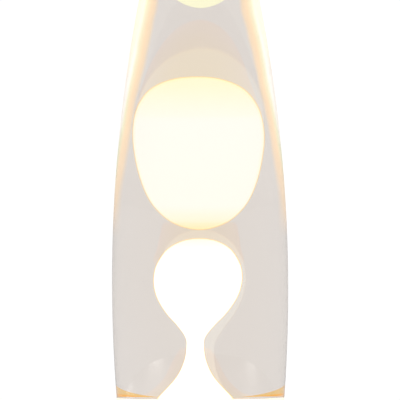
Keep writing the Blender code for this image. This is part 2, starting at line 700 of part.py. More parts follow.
def add_crown(group, tinplate, liner):
    """Crimped crown cap over the mouth, and the liner inside it."""
    liner_z = mouth_z + GAP
    outline = [(0, liner_z), (LINER_RADIUS, liner_z), (LINER_RADIUS, liner_z + LINER_THICKNESS),
               (0, liner_z + LINER_THICKNESS)]
    add_piece("crown_liner", turned(outline, SMALL_STEPS), liner, group)

    bore = LOCK_RADIUS + GAP
    hem = crown_top_z - CROWN_SKIRT
    under = crown_top_z - CROWN_WALL
    outline = [(0, under), (bore - CROWN_WALL, under), (bore + CROWN_FLUTE_DEPTH, under - CROWN_WALL * 2),
               (CROWN_RADIUS - CROWN_WALL, hem), (CROWN_RADIUS, hem),
               (bore + CROWN_WALL + CROWN_FLUTE_DEPTH, under - CROWN_WALL),
               (bore - CROWN_WALL, crown_top_z), (0, crown_top_z)]
    mesh = turned(outline, CROWN_FLUTES * 3)
    for corner in mesh.verts:
        drop = max(under - corner.co.z, 0) / (under - hem)
        angle = math.atan2(corner.co.y, corner.co.x)
        swing = 1 + CROWN_FLUTE_DEPTH * drop * math.cos(CROWN_FLUTES * angle) / CROWN_RADIUS
        corner.co.x *= swing
        corner.co.y *= swing
    add_piece("crown_cap", mesh, tinplate, group)


def add_heat_coil(group, steel):
    """Wire ring, wound like a spring, that spreads the bulb's heat through the wax."""
    centre = floor_z + GAP + COIL_WIRE + COIL_LOOP
    path = []
    for step in range(COIL_TURNS * COIL_POINTS):
        turn = math.tau * step / COIL_POINTS
        angle = turn / COIL_TURNS
        radius = COIL_RADIUS + COIL_LOOP * math.cos(turn)
        path.append(Vector((radius * math.cos(angle), radius * math.sin(angle),
                            centre + COIL_LOOP * math.sin(turn))))
    add_wire("heat_coil", path, COIL_WIRE, True, steel, group)


def add_wax(group, wax):
    """Molten wax: the pool with the column it sends up, a drop on its way and one on top."""
    wall = BOTTLE_WALL + GAP
    low = floor_z + GAP
    room = COIL_LOOP + COIL_WIRE + GAP
    groove = [(COIL_RADIUS - room * math.cos(angle), low + room + COIL_WIRE / 2 + room * math.sin(angle))
              for angle in (0, math.pi / 4, math.pi / 2, 3 * math.pi / 4, math.pi)]
    groove = [(COIL_RADIUS - room, low), *groove, (COIL_RADIUS + room, low)]
    side = side_points(side_start_z, pool_z, 2, wall)
    bed = rounded((0, low), *groove, (side_radius(low, wall), low, BOTTLE_HEEL - BOTTLE_WALL), *side)
    column = smooth(at_height(POOL_WAX), WAX_STEPS)
    column[-1] = (column[-1][0], pool_z)
    add_piece("wax_pool", leaned(turned(bed + column[::-1], STEPS)), wax, group)

    drop = smooth(at_height(MIDDLE_WAX), WAX_STEPS)
    add_piece("wax_drop", leaned(turned(drop, STEPS)), wax, group)

    crest = [(0, level_z), *smooth(at_height(TOP_WAX), WAX_STEPS)]
    add_piece("wax_crest", leaned(turned(crest, STEPS)), wax, group)


def add_liquid(group, liquid):
    """Clear liquid round the wax, in two parts that meet level with the drop's waist."""
    wall = BOTTLE_WALL + GAP
    column = grown(smooth(at_height(POOL_WAX), WAX_STEPS), GAP)
    column[-1] = (column[-1][0], pool_z + GAP)
    drop = grown(smooth(at_height(MIDDLE_WAX), WAX_STEPS), GAP)
    waist = MIDDLE_WAX_WAIST * WAX_STEPS
    split_z = drop[waist][1]
    below = split_z - GAP / 2
    above = split_z + GAP / 2
    outline = [*column, *side_points(pool_z + GAP, below, 5, wall), (drop[waist][0], below),
               *drop[waist + 1:]]
    add_piece("liquid_lower", leaned(turned(outline, STEPS)), liquid, group)

    crest = grown(smooth(at_height(TOP_WAX), WAX_STEPS), GAP)
    crest[0] = (crest[0][0], level_z)
    outline = [*drop[:waist], (drop[waist][0], above), *side_points(above, level_z, 6, wall), *crest]
    add_piece("liquid_upper", leaned(turned(outline, STEPS)), liquid, group)


# Cap --------------------------------------------------------------------------------

def add_cap_shell(group, aluminium):
    """Spun cap that sits on the bottle's taper and hides the neck and the crown."""
    bore_low = side_radius(cap_z) + GAP
    bore_top = CROWN_RADIUS + CAP_SIDE_ROOM
    ceiling = cap_top_z - SHELL_WALL
    outline = rounded((0, ceiling), (bore_top, ceiling, CAP_CORNER - SHELL_WALL), (bore_low, cap_z),
                      (bore_low + SHELL_WALL, cap_z), (bore_top + SHELL_WALL, cap_top_z, CAP_CORNER),
                      (0, cap_top_z), segments=4)
    add_piece("cap_shell", turned(outline, STEPS), aluminium, group)


def build():
    """Put the lamp together from the table up."""
    clear_scene()
    aluminium = finish("spun aluminium", (0.80, 0.80, 0.80), 0.28, metallic=1.0)
    steel = finish("zinc-plated steel", (0.52, 0.53, 0.55), 0.40, metallic=1.0)
    tinplate = finish("tinplate", (0.70, 0.69, 0.66), 0.32, metallic=1.0)
    brass = finish("brass", (0.78, 0.58, 0.26), 0.30, metallic=1.0)
    rubber = finish("rubber", (0.03, 0.03, 0.03), 0.80)
    phenolic = finish("phenolic moulding", (0.04, 0.035, 0.03), 0.45)
    ceramic = finish("ceramic", (0.80, 0.78, 0.72), 0.35)
    glass_black = finish("black glass", (0.02, 0.02, 0.03), 0.10)
    liner = finish("cap liner", (0.75, 0.75, 0.72), 0.60)
    glass = finish("clear glass", (0.95, 0.96, 0.95), 0.02, transmission=1.0)
    liquid = finish("clear liquid", (0.93, 0.92, 0.90), 0.0, transmission=1.0)
    wax = finish("white wax", (0.96, 0.94, 0.86), 0.45)
    tungsten = finish("tungsten", (0.30, 0.30, 0.32), 0.45, metallic=1.0)

    base = assembly("base_assembly")
    add_pads(base, rubber)
    add_bottom_plate(base, steel)
    add_foot_shell(base, aluminium)
    add_grommet(base, rubber)
    add_nut("tube_nut_lower", dish_z - GAP - NUT_HEIGHT, base, steel)
    add_threaded_tube(base, steel)
    add_holder_bracket(base, steel)
    add_nut("tube_nut_upper", upper_nut_z, base, steel)
    add_cup_shell(base, aluminium)
    add_seat_ring(base, steel)
    add_lamp_holder(base, phenolic, ceramic, brass)

    bulb_rise = assembly("bulb_rise_axis", tip_z, base)
    add_bulb_tip(bulb_rise, brass)
    bulb_turn = assembly("bulb_turn_axis", tip_z, bulb_rise)
    add_bulb(bulb_turn, brass, glass_black, glass, tungsten)

    bottle = assembly("bottle_axis", bottle_z, base)
    add_bottle(bottle, glass)
    add_crown(bottle, tinplate, liner)
    add_heat_coil(bottle, steel)
    add_wax(bottle, wax)
    add_liquid(bottle, liquid)

    cap = assembly("cap_axis", cap_z, bottle)
    add_cap_shell(cap, aluminium)


build()
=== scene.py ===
import json
import math

import bmesh
import bpy
from mathutils import Matrix, Vector

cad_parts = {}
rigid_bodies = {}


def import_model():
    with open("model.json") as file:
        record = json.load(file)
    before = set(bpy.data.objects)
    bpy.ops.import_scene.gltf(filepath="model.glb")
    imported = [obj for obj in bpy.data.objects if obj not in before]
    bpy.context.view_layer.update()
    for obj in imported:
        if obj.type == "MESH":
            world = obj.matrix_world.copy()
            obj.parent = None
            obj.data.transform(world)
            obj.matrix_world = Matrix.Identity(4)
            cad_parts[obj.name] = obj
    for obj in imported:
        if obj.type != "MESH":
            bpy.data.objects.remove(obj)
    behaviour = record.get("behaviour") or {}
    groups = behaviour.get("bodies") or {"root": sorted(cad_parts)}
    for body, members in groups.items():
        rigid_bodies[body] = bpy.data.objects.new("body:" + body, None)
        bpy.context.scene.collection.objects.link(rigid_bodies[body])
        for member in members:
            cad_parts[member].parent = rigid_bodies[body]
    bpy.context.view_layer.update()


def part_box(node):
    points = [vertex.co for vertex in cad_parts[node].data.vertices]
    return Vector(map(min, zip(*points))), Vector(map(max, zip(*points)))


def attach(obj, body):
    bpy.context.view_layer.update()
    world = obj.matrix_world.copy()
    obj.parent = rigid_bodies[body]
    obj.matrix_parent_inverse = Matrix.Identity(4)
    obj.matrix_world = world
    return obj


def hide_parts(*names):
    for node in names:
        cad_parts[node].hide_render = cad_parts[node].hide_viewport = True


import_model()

MM = 0.001

# Camera -----------------------------------------------------------------------------
# A long lens far off, level with the middle of the bottle, so that hardly any
# perspective shows. It takes in the bottle from the wax pool up to the last wax.
glass_low, glass_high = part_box("glass_bottle")
VIEW_WIDTH = 200 * MM
CAMERA_DISTANCE = 3000 * MM
CAMERA_HEIGHT = 134.3 * MM           # above the bottle's bottom
CAMERA_SIDESTEP = 0.1 * MM
CAMERA_ROLL = math.radians(0.2)

lens = bpy.data.cameras.new("long_lens")
lens.lens = lens.sensor_width * CAMERA_DISTANCE / VIEW_WIDTH
camera = bpy.data.objects.new("camera", lens)
camera.location = (CAMERA_SIDESTEP, -CAMERA_DISTANCE, glass_low.z + CAMERA_HEIGHT)
camera.rotation_euler = (math.pi / 2, CAMERA_ROLL, 0)
bpy.context.scene.collection.objects.link(camera)
bpy.context.scene.camera = camera


# Foot pads --------------------------------------------------------------------------
# Four stick-on pads of black nitrile rubber, stamped from sheet, under the plate's rim.
# Their lower edge is worn round, and they keep the metal off the table.
FINE_STEPS = 192                     # facets round the shells and the bottle
SMALL_STEPS = 72                     # facets round the fittings
WELD = MM / 1000                     # points nearer than this are one
SHARP = math.radians(35)             # an edge bent more than this is drawn sharp


def linear(code):
    """Turn an sRGB hex code into linear red, green, blue and alpha."""
    parts = [int(code[place:place + 2], 16) / 255 for place in (1, 3, 5)]
    return (*[part / 12.92 if part <= 0.04045 else ((part + 0.055) / 1.055) ** 2.4 for part in parts], 1)


def add_node(material, kind, values=None, links=None):
    """Add a shader node. Values fill its properties, sockets or colour stops, and links feed its sockets.

    A link comes from a socket, or from the first output of a node. A stop is given as its place
    and a hex code, or a number for a plain value.
    """
    node = material.node_tree.nodes.new("ShaderNode" + kind)
    for name, value in (values or {}).items():
        if name == "stops":
            stops = node.color_ramp.elements
            for index, (place, colour) in enumerate(value):
                stop = stops[index] if index < len(stops) else stops.new(place)
                stop.position = place
                stop.color = linear(colour) if isinstance(colour, str) else (colour, colour, colour, 1)
        elif hasattr(node, str(name)):   # some sockets go by their number, not by a name
            setattr(node, name, value)
        else:
            node.inputs[name].default_value = value
    for name, source in (links or {}).items():
        material.node_tree.links.new(source.outputs[0] if hasattr(source, "outputs") else source,
                                     node.inputs[name])
    return node


def new_material(name):
    """Start an empty node material and return it with the place of a point on the piece."""
    material = bpy.data.materials.new(name)
    material.use_nodes = True
    material.node_tree.nodes.clear()
    return material, add_node(material, "TexCoord").outputs["Object"]


def finish_material(material, values, links, volume=None):
    """Close a material with its shader: plain values on the sockets, and patterns linked to the others."""
    shader = add_node(material, "BsdfPrincipled", values, links)
    ends = {"Surface": shader.outputs["BSDF"]}
    if volume:
        ends["Volume"] = volume.outputs["Volume"]
    add_node(material, "OutputMaterial", {}, ends)


def per(size):
    """Texture scale that makes one grain of a pattern this long."""
    return 1 / size


def turned(outline, steps=FINE_STEPS):
    """Spin an outline of (radius, height) points round the lamp's axis and return the bmesh.

    An outline that starts on the axis also ends there. Any other one closes on itself.
    """
    mesh = bmesh.new()
    points = [mesh.verts.new((radius, 0, height)) for radius, height in outline]
    pairs = list(zip(points, points[1:]))
    if outline[0][0] > 0:
        pairs.append((points[-1], points[0]))
    edges = [mesh.edges.new(pair) for pair in pairs]
    bmesh.ops.spin(mesh, geom=points + edges, axis=(0, 0, 1), cent=(0, 0, 0),
                   angle=math.tau, steps=steps)
    bmesh.ops.remove_doubles(mesh, verts=mesh.verts, dist=WELD)
    bmesh.ops.recalc_face_normals(mesh, faces=mesh.faces)
    return mesh


def rounded(*corners, segments=6):
    """Return an outline, with an arc at each corner given as (radius, height, fillet)."""
    outline = []
    for index, corner in enumerate(corners):
        if len(corner) == 2:
            outline.append(corner)
            continue
        here = Vector(corner[:2])
        neighbours = [corners[index - 1], corners[(index + 1) % len(corners)]]
        back, ahead = [Vector(other[:2]) - here for other in neighbours]
        half = back.angle(ahead) / 2
        # An arc takes up to 0.9 of a side, or half that where the next corner has an arc too.
        room = [side.length * (0.9 if len(other) == 2 else 0.45)
                for side, other in zip((back, ahead), neighbours)]
        reach = min(corner[2] / math.tan(half), *room)
        centre = here + (back.normalized() + ahead.normalized()).normalized() * reach / math.cos(half)
        spoke = here + back.normalized() * reach - centre
        sweep = spoke.angle_signed(here + ahead.normalized() * reach - centre)
        for step in range(segments + 1):
            point = centre + Matrix.Rotation(-sweep * step / segments, 2) @ spoke
            outline.append((point.x, point.y))
    return outline


def add_piece(name, mesh, material, body, slot, *nodes):
    """Show a bmesh as a smooth-shaded piece that rides on a body and stands for its CAD nodes."""
    data = bpy.data.meshes.new(name)
    mesh.to_mesh(data)
    mesh.free()
    data.materials.append(material)
    data.shade_smooth()
    data.set_sharp_from_angle(angle=SHARP)
    piece = bpy.data.objects.new(name, data)
    bpy.context.scene.collection.objects.link(piece)
    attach(piece, body)
    if nodes:
        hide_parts(*nodes)
    return piece


PAD_EDGE = 0.5 * MM
RUBBER_GRAIN = 0.5 * MM

rubber, place = new_material("black nitrile rubber")     # dull, dusty in the pores
grain = add_node(rubber, "TexNoise", {"Scale": per(RUBBER_GRAIN), "Detail": 4}, {"Vector": place})
bloom = add_node(rubber, "TexNoise", {"Scale": per(6 * MM), "Detail": 3}, {"Vector": place})
tone = add_node(rubber, "ValToRGB", {"stops": [(0.35, "#191919"), (0.7, "#2b2a29")]}, {"Fac": bloom})
dull = add_node(rubber, "MapRange", {"To Min": 0.62, "To Max": 0.9}, {"Value": grain})
bump = add_node(rubber, "Bump", {"Strength": 0.4, "Distance": 0.1 * MM}, {"Height": grain})
finish_material(rubber, {"IOR": 1.52}, {"Base Color": tone, "Roughness": dull, "Normal": bump})

for number in (1, 2, 3, 4):
    low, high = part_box(f"foot_pad_{number}")
    radius = (high.x - low.x) / 2
    pad = turned(rounded((0, low.z), (radius, low.z, PAD_EDGE), (radius, high.z, PAD_EDGE / 3),
                         (0, high.z)), SMALL_STEPS)
    pad.transform(Matrix.Translation(((low.x + high.x) / 2, (low.y + high.y) / 2, 0)))
    add_piece(f"pad_{number}", pad, rubber, "base", "rubber", f"foot_pad_{number}")


# Bottom plate -----------------------------------------------------------------------
# Heavy steel disc, zinc plated, pressed up round its hole so that the nut hides in the
# dish. Eight slots let air in under the bulb, and the threaded tube holds it on.
SLOT_COUNT = 8
SLOT_WIDTH = 3 * MM
SLOT_START = 22 * MM
SLOT_LENGTH = 14 * MM
DISH_RADIUS = 15 * MM
PLATE_EDGE = 0.4 * MM
PLATE_THICKNESS = 2 * MM
CLEARANCE = 0.3 * MM                 # between parts that fit into each other

zinc, place = new_material("zinc-plated steel")          # pale grey, faintly blue and cloudy
cloud = add_node(zinc, "TexNoise", {"Scale": per(9 * MM), "Detail": 5, "Roughness": 0.6}, {"Vector": place})
crystal = add_node(zinc, "TexVoronoi", {"Scale": per(1.2 * MM)}, {"Vector": place})
tone = add_node(zinc, "ValToRGB", {"stops": [(0.3, "#9fa5ab"), (0.55, "#babfc3"),
                                             (0.8, "#c9c8c2")]}, {"Fac": cloud})
dull = add_node(zinc, "MapRange", {"To Min": 0.3, "To Max": 0.46}, {"Value": cloud})
bump = add_node(zinc, "Bump", {"Strength": 0.12, "Distance": 0.05 * MM},
                {"Height": crystal.outputs["Distance"]})
finish_material(zinc, {"Metallic": 1.0}, {"Base Color": tone, "Roughness": dull, "Normal": bump})


def prism(corners, low, high):
    """Return the bmesh of an upright prism over a list of (x, y) corners."""
    mesh = bmesh.new()
    face = mesh.faces.new([mesh.verts.new((x, y, low)) for x, y in corners])
    grown = bmesh.ops.extrude_face_region(mesh, geom=[face])["geom"]
    moved = [part for part in grown if isinstance(part, bmesh.types.BMVert)]
    bmesh.ops.translate(mesh, verts=moved, vec=(0, 0, high - low))
    bmesh.ops.recalc_face_normals(mesh, faces=mesh.faces)
    return mesh


def stadium(start, length, width, steps=8):
    """Corners of a slot with round ends that runs out along X."""
    corners = []
    for centre, turn in ((start + length - width / 2, -1), (start + width / 2, 1)):
        for step in range(steps + 1):
            angle = math.pi * (step / steps + turn / 2)
            corners.append((centre + width / 2 * math.cos(angle), width / 2 * math.sin(angle)))
    return corners


def circle(radius, steps=32):
    """Corners of a round hole on the axis."""
    return [(radius * math.cos(math.tau * step / steps), radius * math.sin(math.tau * step / steps))
            for step in range(steps)]


def shaped(mesh, tool, operation="DIFFERENCE"):
    """Cut one bmesh with another, or join them, and return the result as a bmesh."""
    carriers = []
    for part in (mesh, tool):
        data = bpy.data.meshes.new("shaping")
        part.to_mesh(data)
        part.free()
        carriers.append(bpy.data.objects.new("shaping", data))
        bpy.context.scene.collection.objects.link(carriers[-1])
    modifier = carriers[0].modifiers.new("shaping", "BOOLEAN")
    modifier.operation = operation
    modifier.object = carriers[1]
    modifier.solver = "EXACT"
    result = bmesh.new()
    result.from_object(carriers[0], bpy.context.evaluated_depsgraph_get())
    for carrier in carriers:
        bpy.data.objects.remove(carrier)
    return result


plate_low, plate_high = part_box("bottom_plate")
tube_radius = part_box("threaded_tube")[1].x
plate_top = plate_low.z + PLATE_THICKNESS
dish_low = plate_high.z - PLATE_THICKNESS
rise = dish_low - plate_low.z
hole = tube_radius + CLEARANCE
plate = turned(rounded((plate_high.x, plate_low.z, PLATE_EDGE), (plate_high.x, plate_top, PLATE_EDGE),
                       (DISH_RADIUS + rise, plate_top, 3 * PLATE_EDGE),
                       (DISH_RADIUS, plate_high.z, 4 * PLATE_EDGE), (hole, plate_high.z), (hole, dish_low),
                       (DISH_RADIUS - PLATE_THICKNESS / 2, dish_low, 2 * PLATE_EDGE),
                       (DISH_RADIUS + rise - PLATE_THICKNESS / 2, plate_low.z, 4 * PLATE_EDGE)))
for number in range(SLOT_COUNT):
    slot = prism(stadium(SLOT_START, SLOT_LENGTH, SLOT_WIDTH), plate_low.z - MM, plate_top + MM)
    slot.transform(Matrix.Rotation(math.tau * (number + 0.5) / SLOT_COUNT, 4, "Z"))
    plate = shaped(plate, slot)
add_piece("plate_disc", plate, zinc, "base", "zinc_steel", "bottom_plate")


# Threaded tube and nuts -------------------------------------------------------------
# Hollow steel rod with a fine M10 thread along its whole length, and two thin hexagon
# nuts with chamfered corners. They clamp the plate and the bracket together.
TUBE_BORE = 3.5 * MM
TUBE_PITCH = 1.0 * MM
TUBE_DEPTH = 0.35 * MM
TUBE_SIDES = 48
PITCH_STEPS = 6
NUT_CHAMFER = 0.5                    # drop of a corner, as a share of how far it stands out
tube_low, tube_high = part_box("threaded_tube")


def helix(mesh, pitch, depth, inner, low, high):
    """Press a round screw thread into the wall outside a radius, fading out at both ends."""
    for corner in mesh.verts:
        radius = corner.co.xy.length
        if radius < inner:
            continue
        fade = min(max(min(corner.co.z - low, high - corner.co.z) / pitch, 0), 1)
        turn = corner.co.z / pitch - math.atan2(corner.co.y, corner.co.x) / math.tau
        drop = depth * fade * (0.5 - 0.5 * math.cos(math.tau * turn))
        corner.co.xy *= (radius - drop) / radius
    return mesh


rows = round((tube_high.z - tube_low.z) / TUBE_PITCH * PITCH_STEPS)
thread = [(tube_high.x, tube_low.z + (tube_high.z - tube_low.z) * row / rows) for row in range(rows + 1)]
tube = turned([(TUBE_BORE, tube_low.z), *thread, (TUBE_BORE, tube_high.z)], TUBE_SIDES)
tube = helix(tube, TUBE_PITCH, TUBE_DEPTH, (TUBE_BORE + tube_high.x) / 2, tube_low.z, tube_high.z)
add_piece("tube_rod", tube, zinc, "base", "zinc_steel", "threaded_tube")

for name in ("tube_nut_lower", "tube_nut_upper"):
    low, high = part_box(name)
    corner_radius = high.x
    flat = corner_radius * math.cos(math.pi / 6)
    nut = turned([(hole, low.z), (flat, low.z), (corner_radius, low.z), (corner_radius, high.z),
                  (flat, high.z), (hole, high.z)], SMALL_STEPS)
    for corner in nut.verts:
        radius = corner.co.xy.length
        if radius > flat + MM / 100:
            angle = math.atan2(corner.co.y, corner.co.x) % (math.pi / 3) - math.pi / 6
            reach = flat / math.cos(angle)
            cut = (reach - flat) * NUT_CHAMFER
            corner.co.xy *= reach / radius
            corner.co.z += cut if corner.co.z < (low.z + high.z) / 2 else -cut
    bmesh.ops.remove_doubles(nut, verts=nut.verts, dist=WELD)
    add_piece(name.replace("tube_nut", "hexagon_nut"), nut, zinc, "base", "zinc_steel", name)


# Foot -------------------------------------------------------------------------------
# Cone spun from 1.2 mm aluminium sheet on a lathe and lacquered clear. The tool leaves
# fine rings all round it, and a hole at the back takes the cord's rubber bush.
SHELL_WALL = 1.2 * MM
FOOT_SKIRT = 3 * MM
NECK_HEIGHT = 6 * MM
RING_PITCH = 0.5 * MM                # real tool marks are half this, drawn coarser to show
SPUN_EDGE = 0.4 * MM

aluminium, place = new_material("spun aluminium")        # silky grey with tool rings, clear lacquer
flat_part = add_node(aluminium, "VectorMath", {"operation": "MULTIPLY", 1: (1, 1, 0)}, {0: place})
reach = add_node(aluminium, "VectorMath", {"operation": "LENGTH"}, {0: flat_part})
height = add_node(aluminium, "SeparateXYZ", {}, {0: place})
profile = add_node(aluminium, "CombineXYZ", {}, {"X": reach.outputs["Value"], "Z": height.outputs["Z"]})
rings = add_node(aluminium, "TexNoise", {"Scale": per(RING_PITCH), "Detail": 3, "Roughness": 0.7},
                 {"Vector": profile})
bands = add_node(aluminium, "TexNoise", {"Scale": per(7 * MM), "Detail": 2}, {"Vector": profile})
haze = add_node(aluminium, "TexNoise", {"Scale": per(14 * MM), "Detail": 4}, {"Vector": place})
tone = add_node(aluminium, "ValToRGB", {"stops": [(0.3, "#b4b6b8"), (0.7, "#cbcccc")]}, {"Fac": bands})
mixed = add_node(aluminium, "Math", {"operation": "MULTIPLY"}, {0: rings, 1: haze})
dull = add_node(aluminium, "MapRange", {"From Max": 0.5, "To Min": 0.2, "To Max": 0.36}, {"Value": mixed})
bump = add_node(aluminium, "Bump", {"Strength": 0.25, "Distance": 0.04 * MM}, {"Height": rings})
sweep = add_node(aluminium, "Tangent", {"direction_type": "RADIAL", "axis": "Z"})
finish_material(aluminium,
                {"Metallic": 1.0, "Anisotropic": 0.55, "Coat Weight": 0.15, "Coat Roughness": 0.12},
                {"Base Color": tone, "Roughness": dull, "Normal": bump,
                 "Tangent": sweep})

WAIST_RADIUS = 29.2 * MM
BUSH_HEIGHT = 14 * MM                # of the cord's hole above the table
BUSH_NECK = 4.7 * MM
foot_low, foot_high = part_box("foot_shell")
cup_low, cup_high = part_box("cup_shell")
waist_z = (foot_high.z + cup_low.z) / 2
waist_bore = WAIST_RADIUS - SHELL_WALL
skirt_z = foot_low.z + FOOT_SKIRT
neck_z = waist_z - NECK_HEIGHT
cone_lean = math.atan((foot_high.x - WAIST_RADIUS) / (neck_z - skirt_z))

foot = turned(rounded((foot_high.x, foot_low.z, SPUN_EDGE), (foot_high.x, skirt_z, 2 * SHELL_WALL),
                      (WAIST_RADIUS, neck_z, 6 * SHELL_WALL), (WAIST_RADIUS, foot_high.z, SPUN_EDGE),
                      (waist_bore, foot_high.z), (waist_bore, neck_z, 6 * SHELL_WALL),
                      (foot_high.x - SHELL_WALL, skirt_z, SHELL_WALL),
                      (foot_high.x - SHELL_WALL, foot_low.z)))
bush_radius = foot_high.x - (BUSH_HEIGHT - skirt_z) * math.tan(cone_lean)
bush_frame = (Matrix.Translation((0, bush_radius, BUSH_HEIGHT))
              @ Matrix.Rotation(cone_lean - math.pi / 2, 4, "X"))
cord_hole = prism(circle(BUSH_NECK + CLEARANCE), -4 * SHELL_WALL, 3 * SHELL_WALL)
cord_hole.transform(bush_frame)
add_piece("foot_cone", shaped(foot, cord_hole), aluminium, "base", "spun_aluminium", "foot_shell")


# Cord bush --------------------------------------------------------------------------
# Moulded rubber grommet snapped into the foot's wall, held between its two flanges. It
# keeps the sheet's raw edge off the mains cord.
BUSH_BORE = 3 * MM
BUSH_FLANGE = 7.2 * MM
BUSH_RIM = 1.5 * MM
inside = -SHELL_WALL - 3 * CLEARANCE
bush = turned(rounded((BUSH_BORE, inside - BUSH_RIM), (BUSH_FLANGE - BUSH_RIM, inside - BUSH_RIM, PAD_EDGE),
                      (BUSH_FLANGE - BUSH_RIM / 2, inside), (BUSH_NECK, inside), (BUSH_NECK, CLEARANCE),
                      (BUSH_FLANGE, CLEARANCE, PAD_EDGE / 2),
                      (BUSH_FLANGE - BUSH_RIM / 2, CLEARANCE + BUSH_RIM, PAD_EDGE),
                      (BUSH_BORE, CLEARANCE + BUSH_RIM, PAD_EDGE)), SMALL_STEPS)
bush.transform(bush_frame)
add_piece("cord_bush", bush, rubber, "base", "rubber", "cord_grommet")


# Holder bracket ---------------------------------------------------------------------
# Zinc-plated collar, flared at the top to draw the cup down onto the foot, with a steel
# strap welded across it. The tube and its nut pull on the strap.
COLLAR_WALL = 1.2 * MM
STRAP_WIDTH = 12 * MM
STRAP_THICKNESS = 1.5 * MM
collar_low, collar_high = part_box("holder_bracket")
cone_z = waist_z + NECK_HEIGHT
collar_outer = waist_bore - CLEARANCE
collar_inner = collar_outer - COLLAR_WALL
flare = collar_high.x - collar_outer
edge_z = neck_z + MM
collar = turned(rounded((collar_outer, edge_z), (collar_outer, cone_z, 4 * COLLAR_WALL),
                        (collar_outer + flare, collar_high.z), (collar_inner + flare, collar_high.z),
                        (collar_inner, cone_z, 4 * COLLAR_WALL), (collar_inner, edge_z)))
half = STRAP_WIDTH / 2
span = math.sqrt(collar_outer ** 2 - half ** 2) - 2 * CLEARANCE
bend = 3 * STRAP_THICKNESS
path = rounded((span, edge_z + NECK_HEIGHT), (span, collar_low.z, bend), (-span, collar_low.z, bend),
               (-span, edge_z + NECK_HEIGHT), (STRAP_THICKNESS - span, edge_z + NECK_HEIGHT),
               (STRAP_THICKNESS - span, collar_low.z + STRAP_THICKNESS, bend - STRAP_THICKNESS),
               (span - STRAP_THICKNESS, collar_low.z + STRAP_THICKNESS, bend - STRAP_THICKNESS),
               (span - STRAP_THICKNESS, edge_z + NECK_HEIGHT))
strap = prism(path, -half, half)
strap.transform(Matrix.Rotation(math.pi / 2, 4, "X"))
strap = shaped(strap, prism(circle(hole), 0, 2 * collar_low.z))
bracket = shaped(collar, strap, "UNION")
add_piece("bracket_collar", bracket, zinc, "base", "zinc_steel", "holder_bracket")


# Cup --------------------------------------------------------------------------------
# The upper cone, spun like the foot from aluminium sheet, with its edge rolled over into
# a smooth bead. It stands on the foot's neck, and the bottle sinks into it.
LIP_RADIUS = 0.9 * MM
LIP_START = 150                      # degrees from the bead's top, low on its outside
LIP_TURN = 230                       # degrees, up and over to the inside
LIP_STEPS = 20
rim = cup_high.x - SHELL_WALL / 2 - LIP_RADIUS
lip = []
for step in range(LIP_STEPS + 1):
    angle = math.radians(LIP_START - LIP_TURN * step / LIP_STEPS)
    lip.append((rim + SHELL_WALL / 2 + LIP_RADIUS * math.sin(angle),
                cup_high.z - LIP_RADIUS * (1 - math.cos(angle))))
cup = turned(rounded((waist_bore, cup_low.z), (WAIST_RADIUS, cup_low.z, SPUN_EDGE),
                     (WAIST_RADIUS, cone_z, 4 * SHELL_WALL), *lip, (waist_bore, cone_z, 3 * SHELL_WALL)))
add_piece("cup_cone", cup, aluminium, "base", "spun_aluminium", "cup_shell")


# Seat ring --------------------------------------------------------------------------
# Pressed steel ring with a turned-down flange. It jams in the cup's cone, and the bottle
# stands on its flat top with the bulb just below.
RING_WALL = 1.2 * MM
SEAT_OPENING = 25 * MM
ring_low, ring_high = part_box("seat_ring")


def cup_bore(height):
    """Inner radius of the cup's cone at a height."""
    return waist_bore + (rim - waist_bore) * (height - cone_z) / (cup_high.z - cone_z)


lower = ring_high.x - (cup_bore(ring_high.z) - cup_bore(ring_low.z))
ring = turned(rounded((SEAT_OPENING, ring_high.z - RING_WALL), (SEAT_OPENING, ring_high.z, PLATE_EDGE),
                      (ring_high.x, ring_high.z, RING_WALL), (lower, ring_low.z, PLATE_EDGE / 2),
                      (lower - RING_WALL, ring_low.z, PLATE_EDGE / 2),
                      (ring_high.x - 1.5 * RING_WALL, ring_high.z - RING_WALL, RING_WALL / 2)))
add_piece("seat_pressing", ring, zinc, "base", "zinc_steel", "seat_ring")


# Lamp holder ------------------------------------------------------------------------
# Small screw holder of dark phenolic in two mouldings, base cup and ribbed sleeve. A
# steatite insert carries the pressed brass screw shell and the sprung centre contact.
RIB_COUNT = 24
RIB_DEPTH = 0.35 * MM
RIB_FACETS = 8
HOLDER_WALL = 1.5 * MM
SLEEVE_ROWS = 12
SHELL_BORE = 7.2 * MM
SHELL_ROWS = 40
BRASS_WALL = 0.5 * MM
TONGUE_WALL = 0.4 * MM


def cloudy(name, size, stops, values, detail=3, warp=0, dull=None, relief=None):
    """Make a material whose colour follows one cloudy pattern, as do its roughness and relief where given."""
    material, place = new_material(name)
    cloud = add_node(material, "TexNoise", {"Scale": per(size), "Detail": detail, "Distortion": warp},
                     {"Vector": place})
    links = {"Base Color": add_node(material, "ValToRGB", {"stops": stops}, {"Fac": cloud})}
    if dull:
        links["Roughness"] = add_node(material, "MapRange", {"To Min": dull[0], "To Max": dull[1]},
                                      {"Value": cloud})
    if relief:
        links["Normal"] = add_node(material, "Bump", {"Strength": relief[0], "Distance": relief[1]},
                                   {"Height": cloud})
    finish_material(material, values, links)
    return material


# Brown black with a soft gloss, faintly marbled
phenolic = cloudy("moulded phenolic", 5 * MM, [(0.4, "#1c1613"), (0.75, "#33261f")], {"IOR": 1.6},
                  detail=5, warp=1.5, dull=(0.28, 0.45))

# Off-white and matt, slightly speckled
steatite = cloudy("steatite ceramic", 0.8 * MM, [(0.3, "#d9d3c4"), (0.6, "#eeeae0")],
                  {"IOR": 1.58, "Roughness": 0.42}, detail=4, relief=(0.2, 0.05 * MM))

# Warm yellow, dulled in patches
brass = cloudy("pressed brass", 4 * MM, [(0.35, "#b08a4a"), (0.65, "#dcbc78")], {"Metallic": 1.0},
               detail=5, dull=(0.42, 0.22))

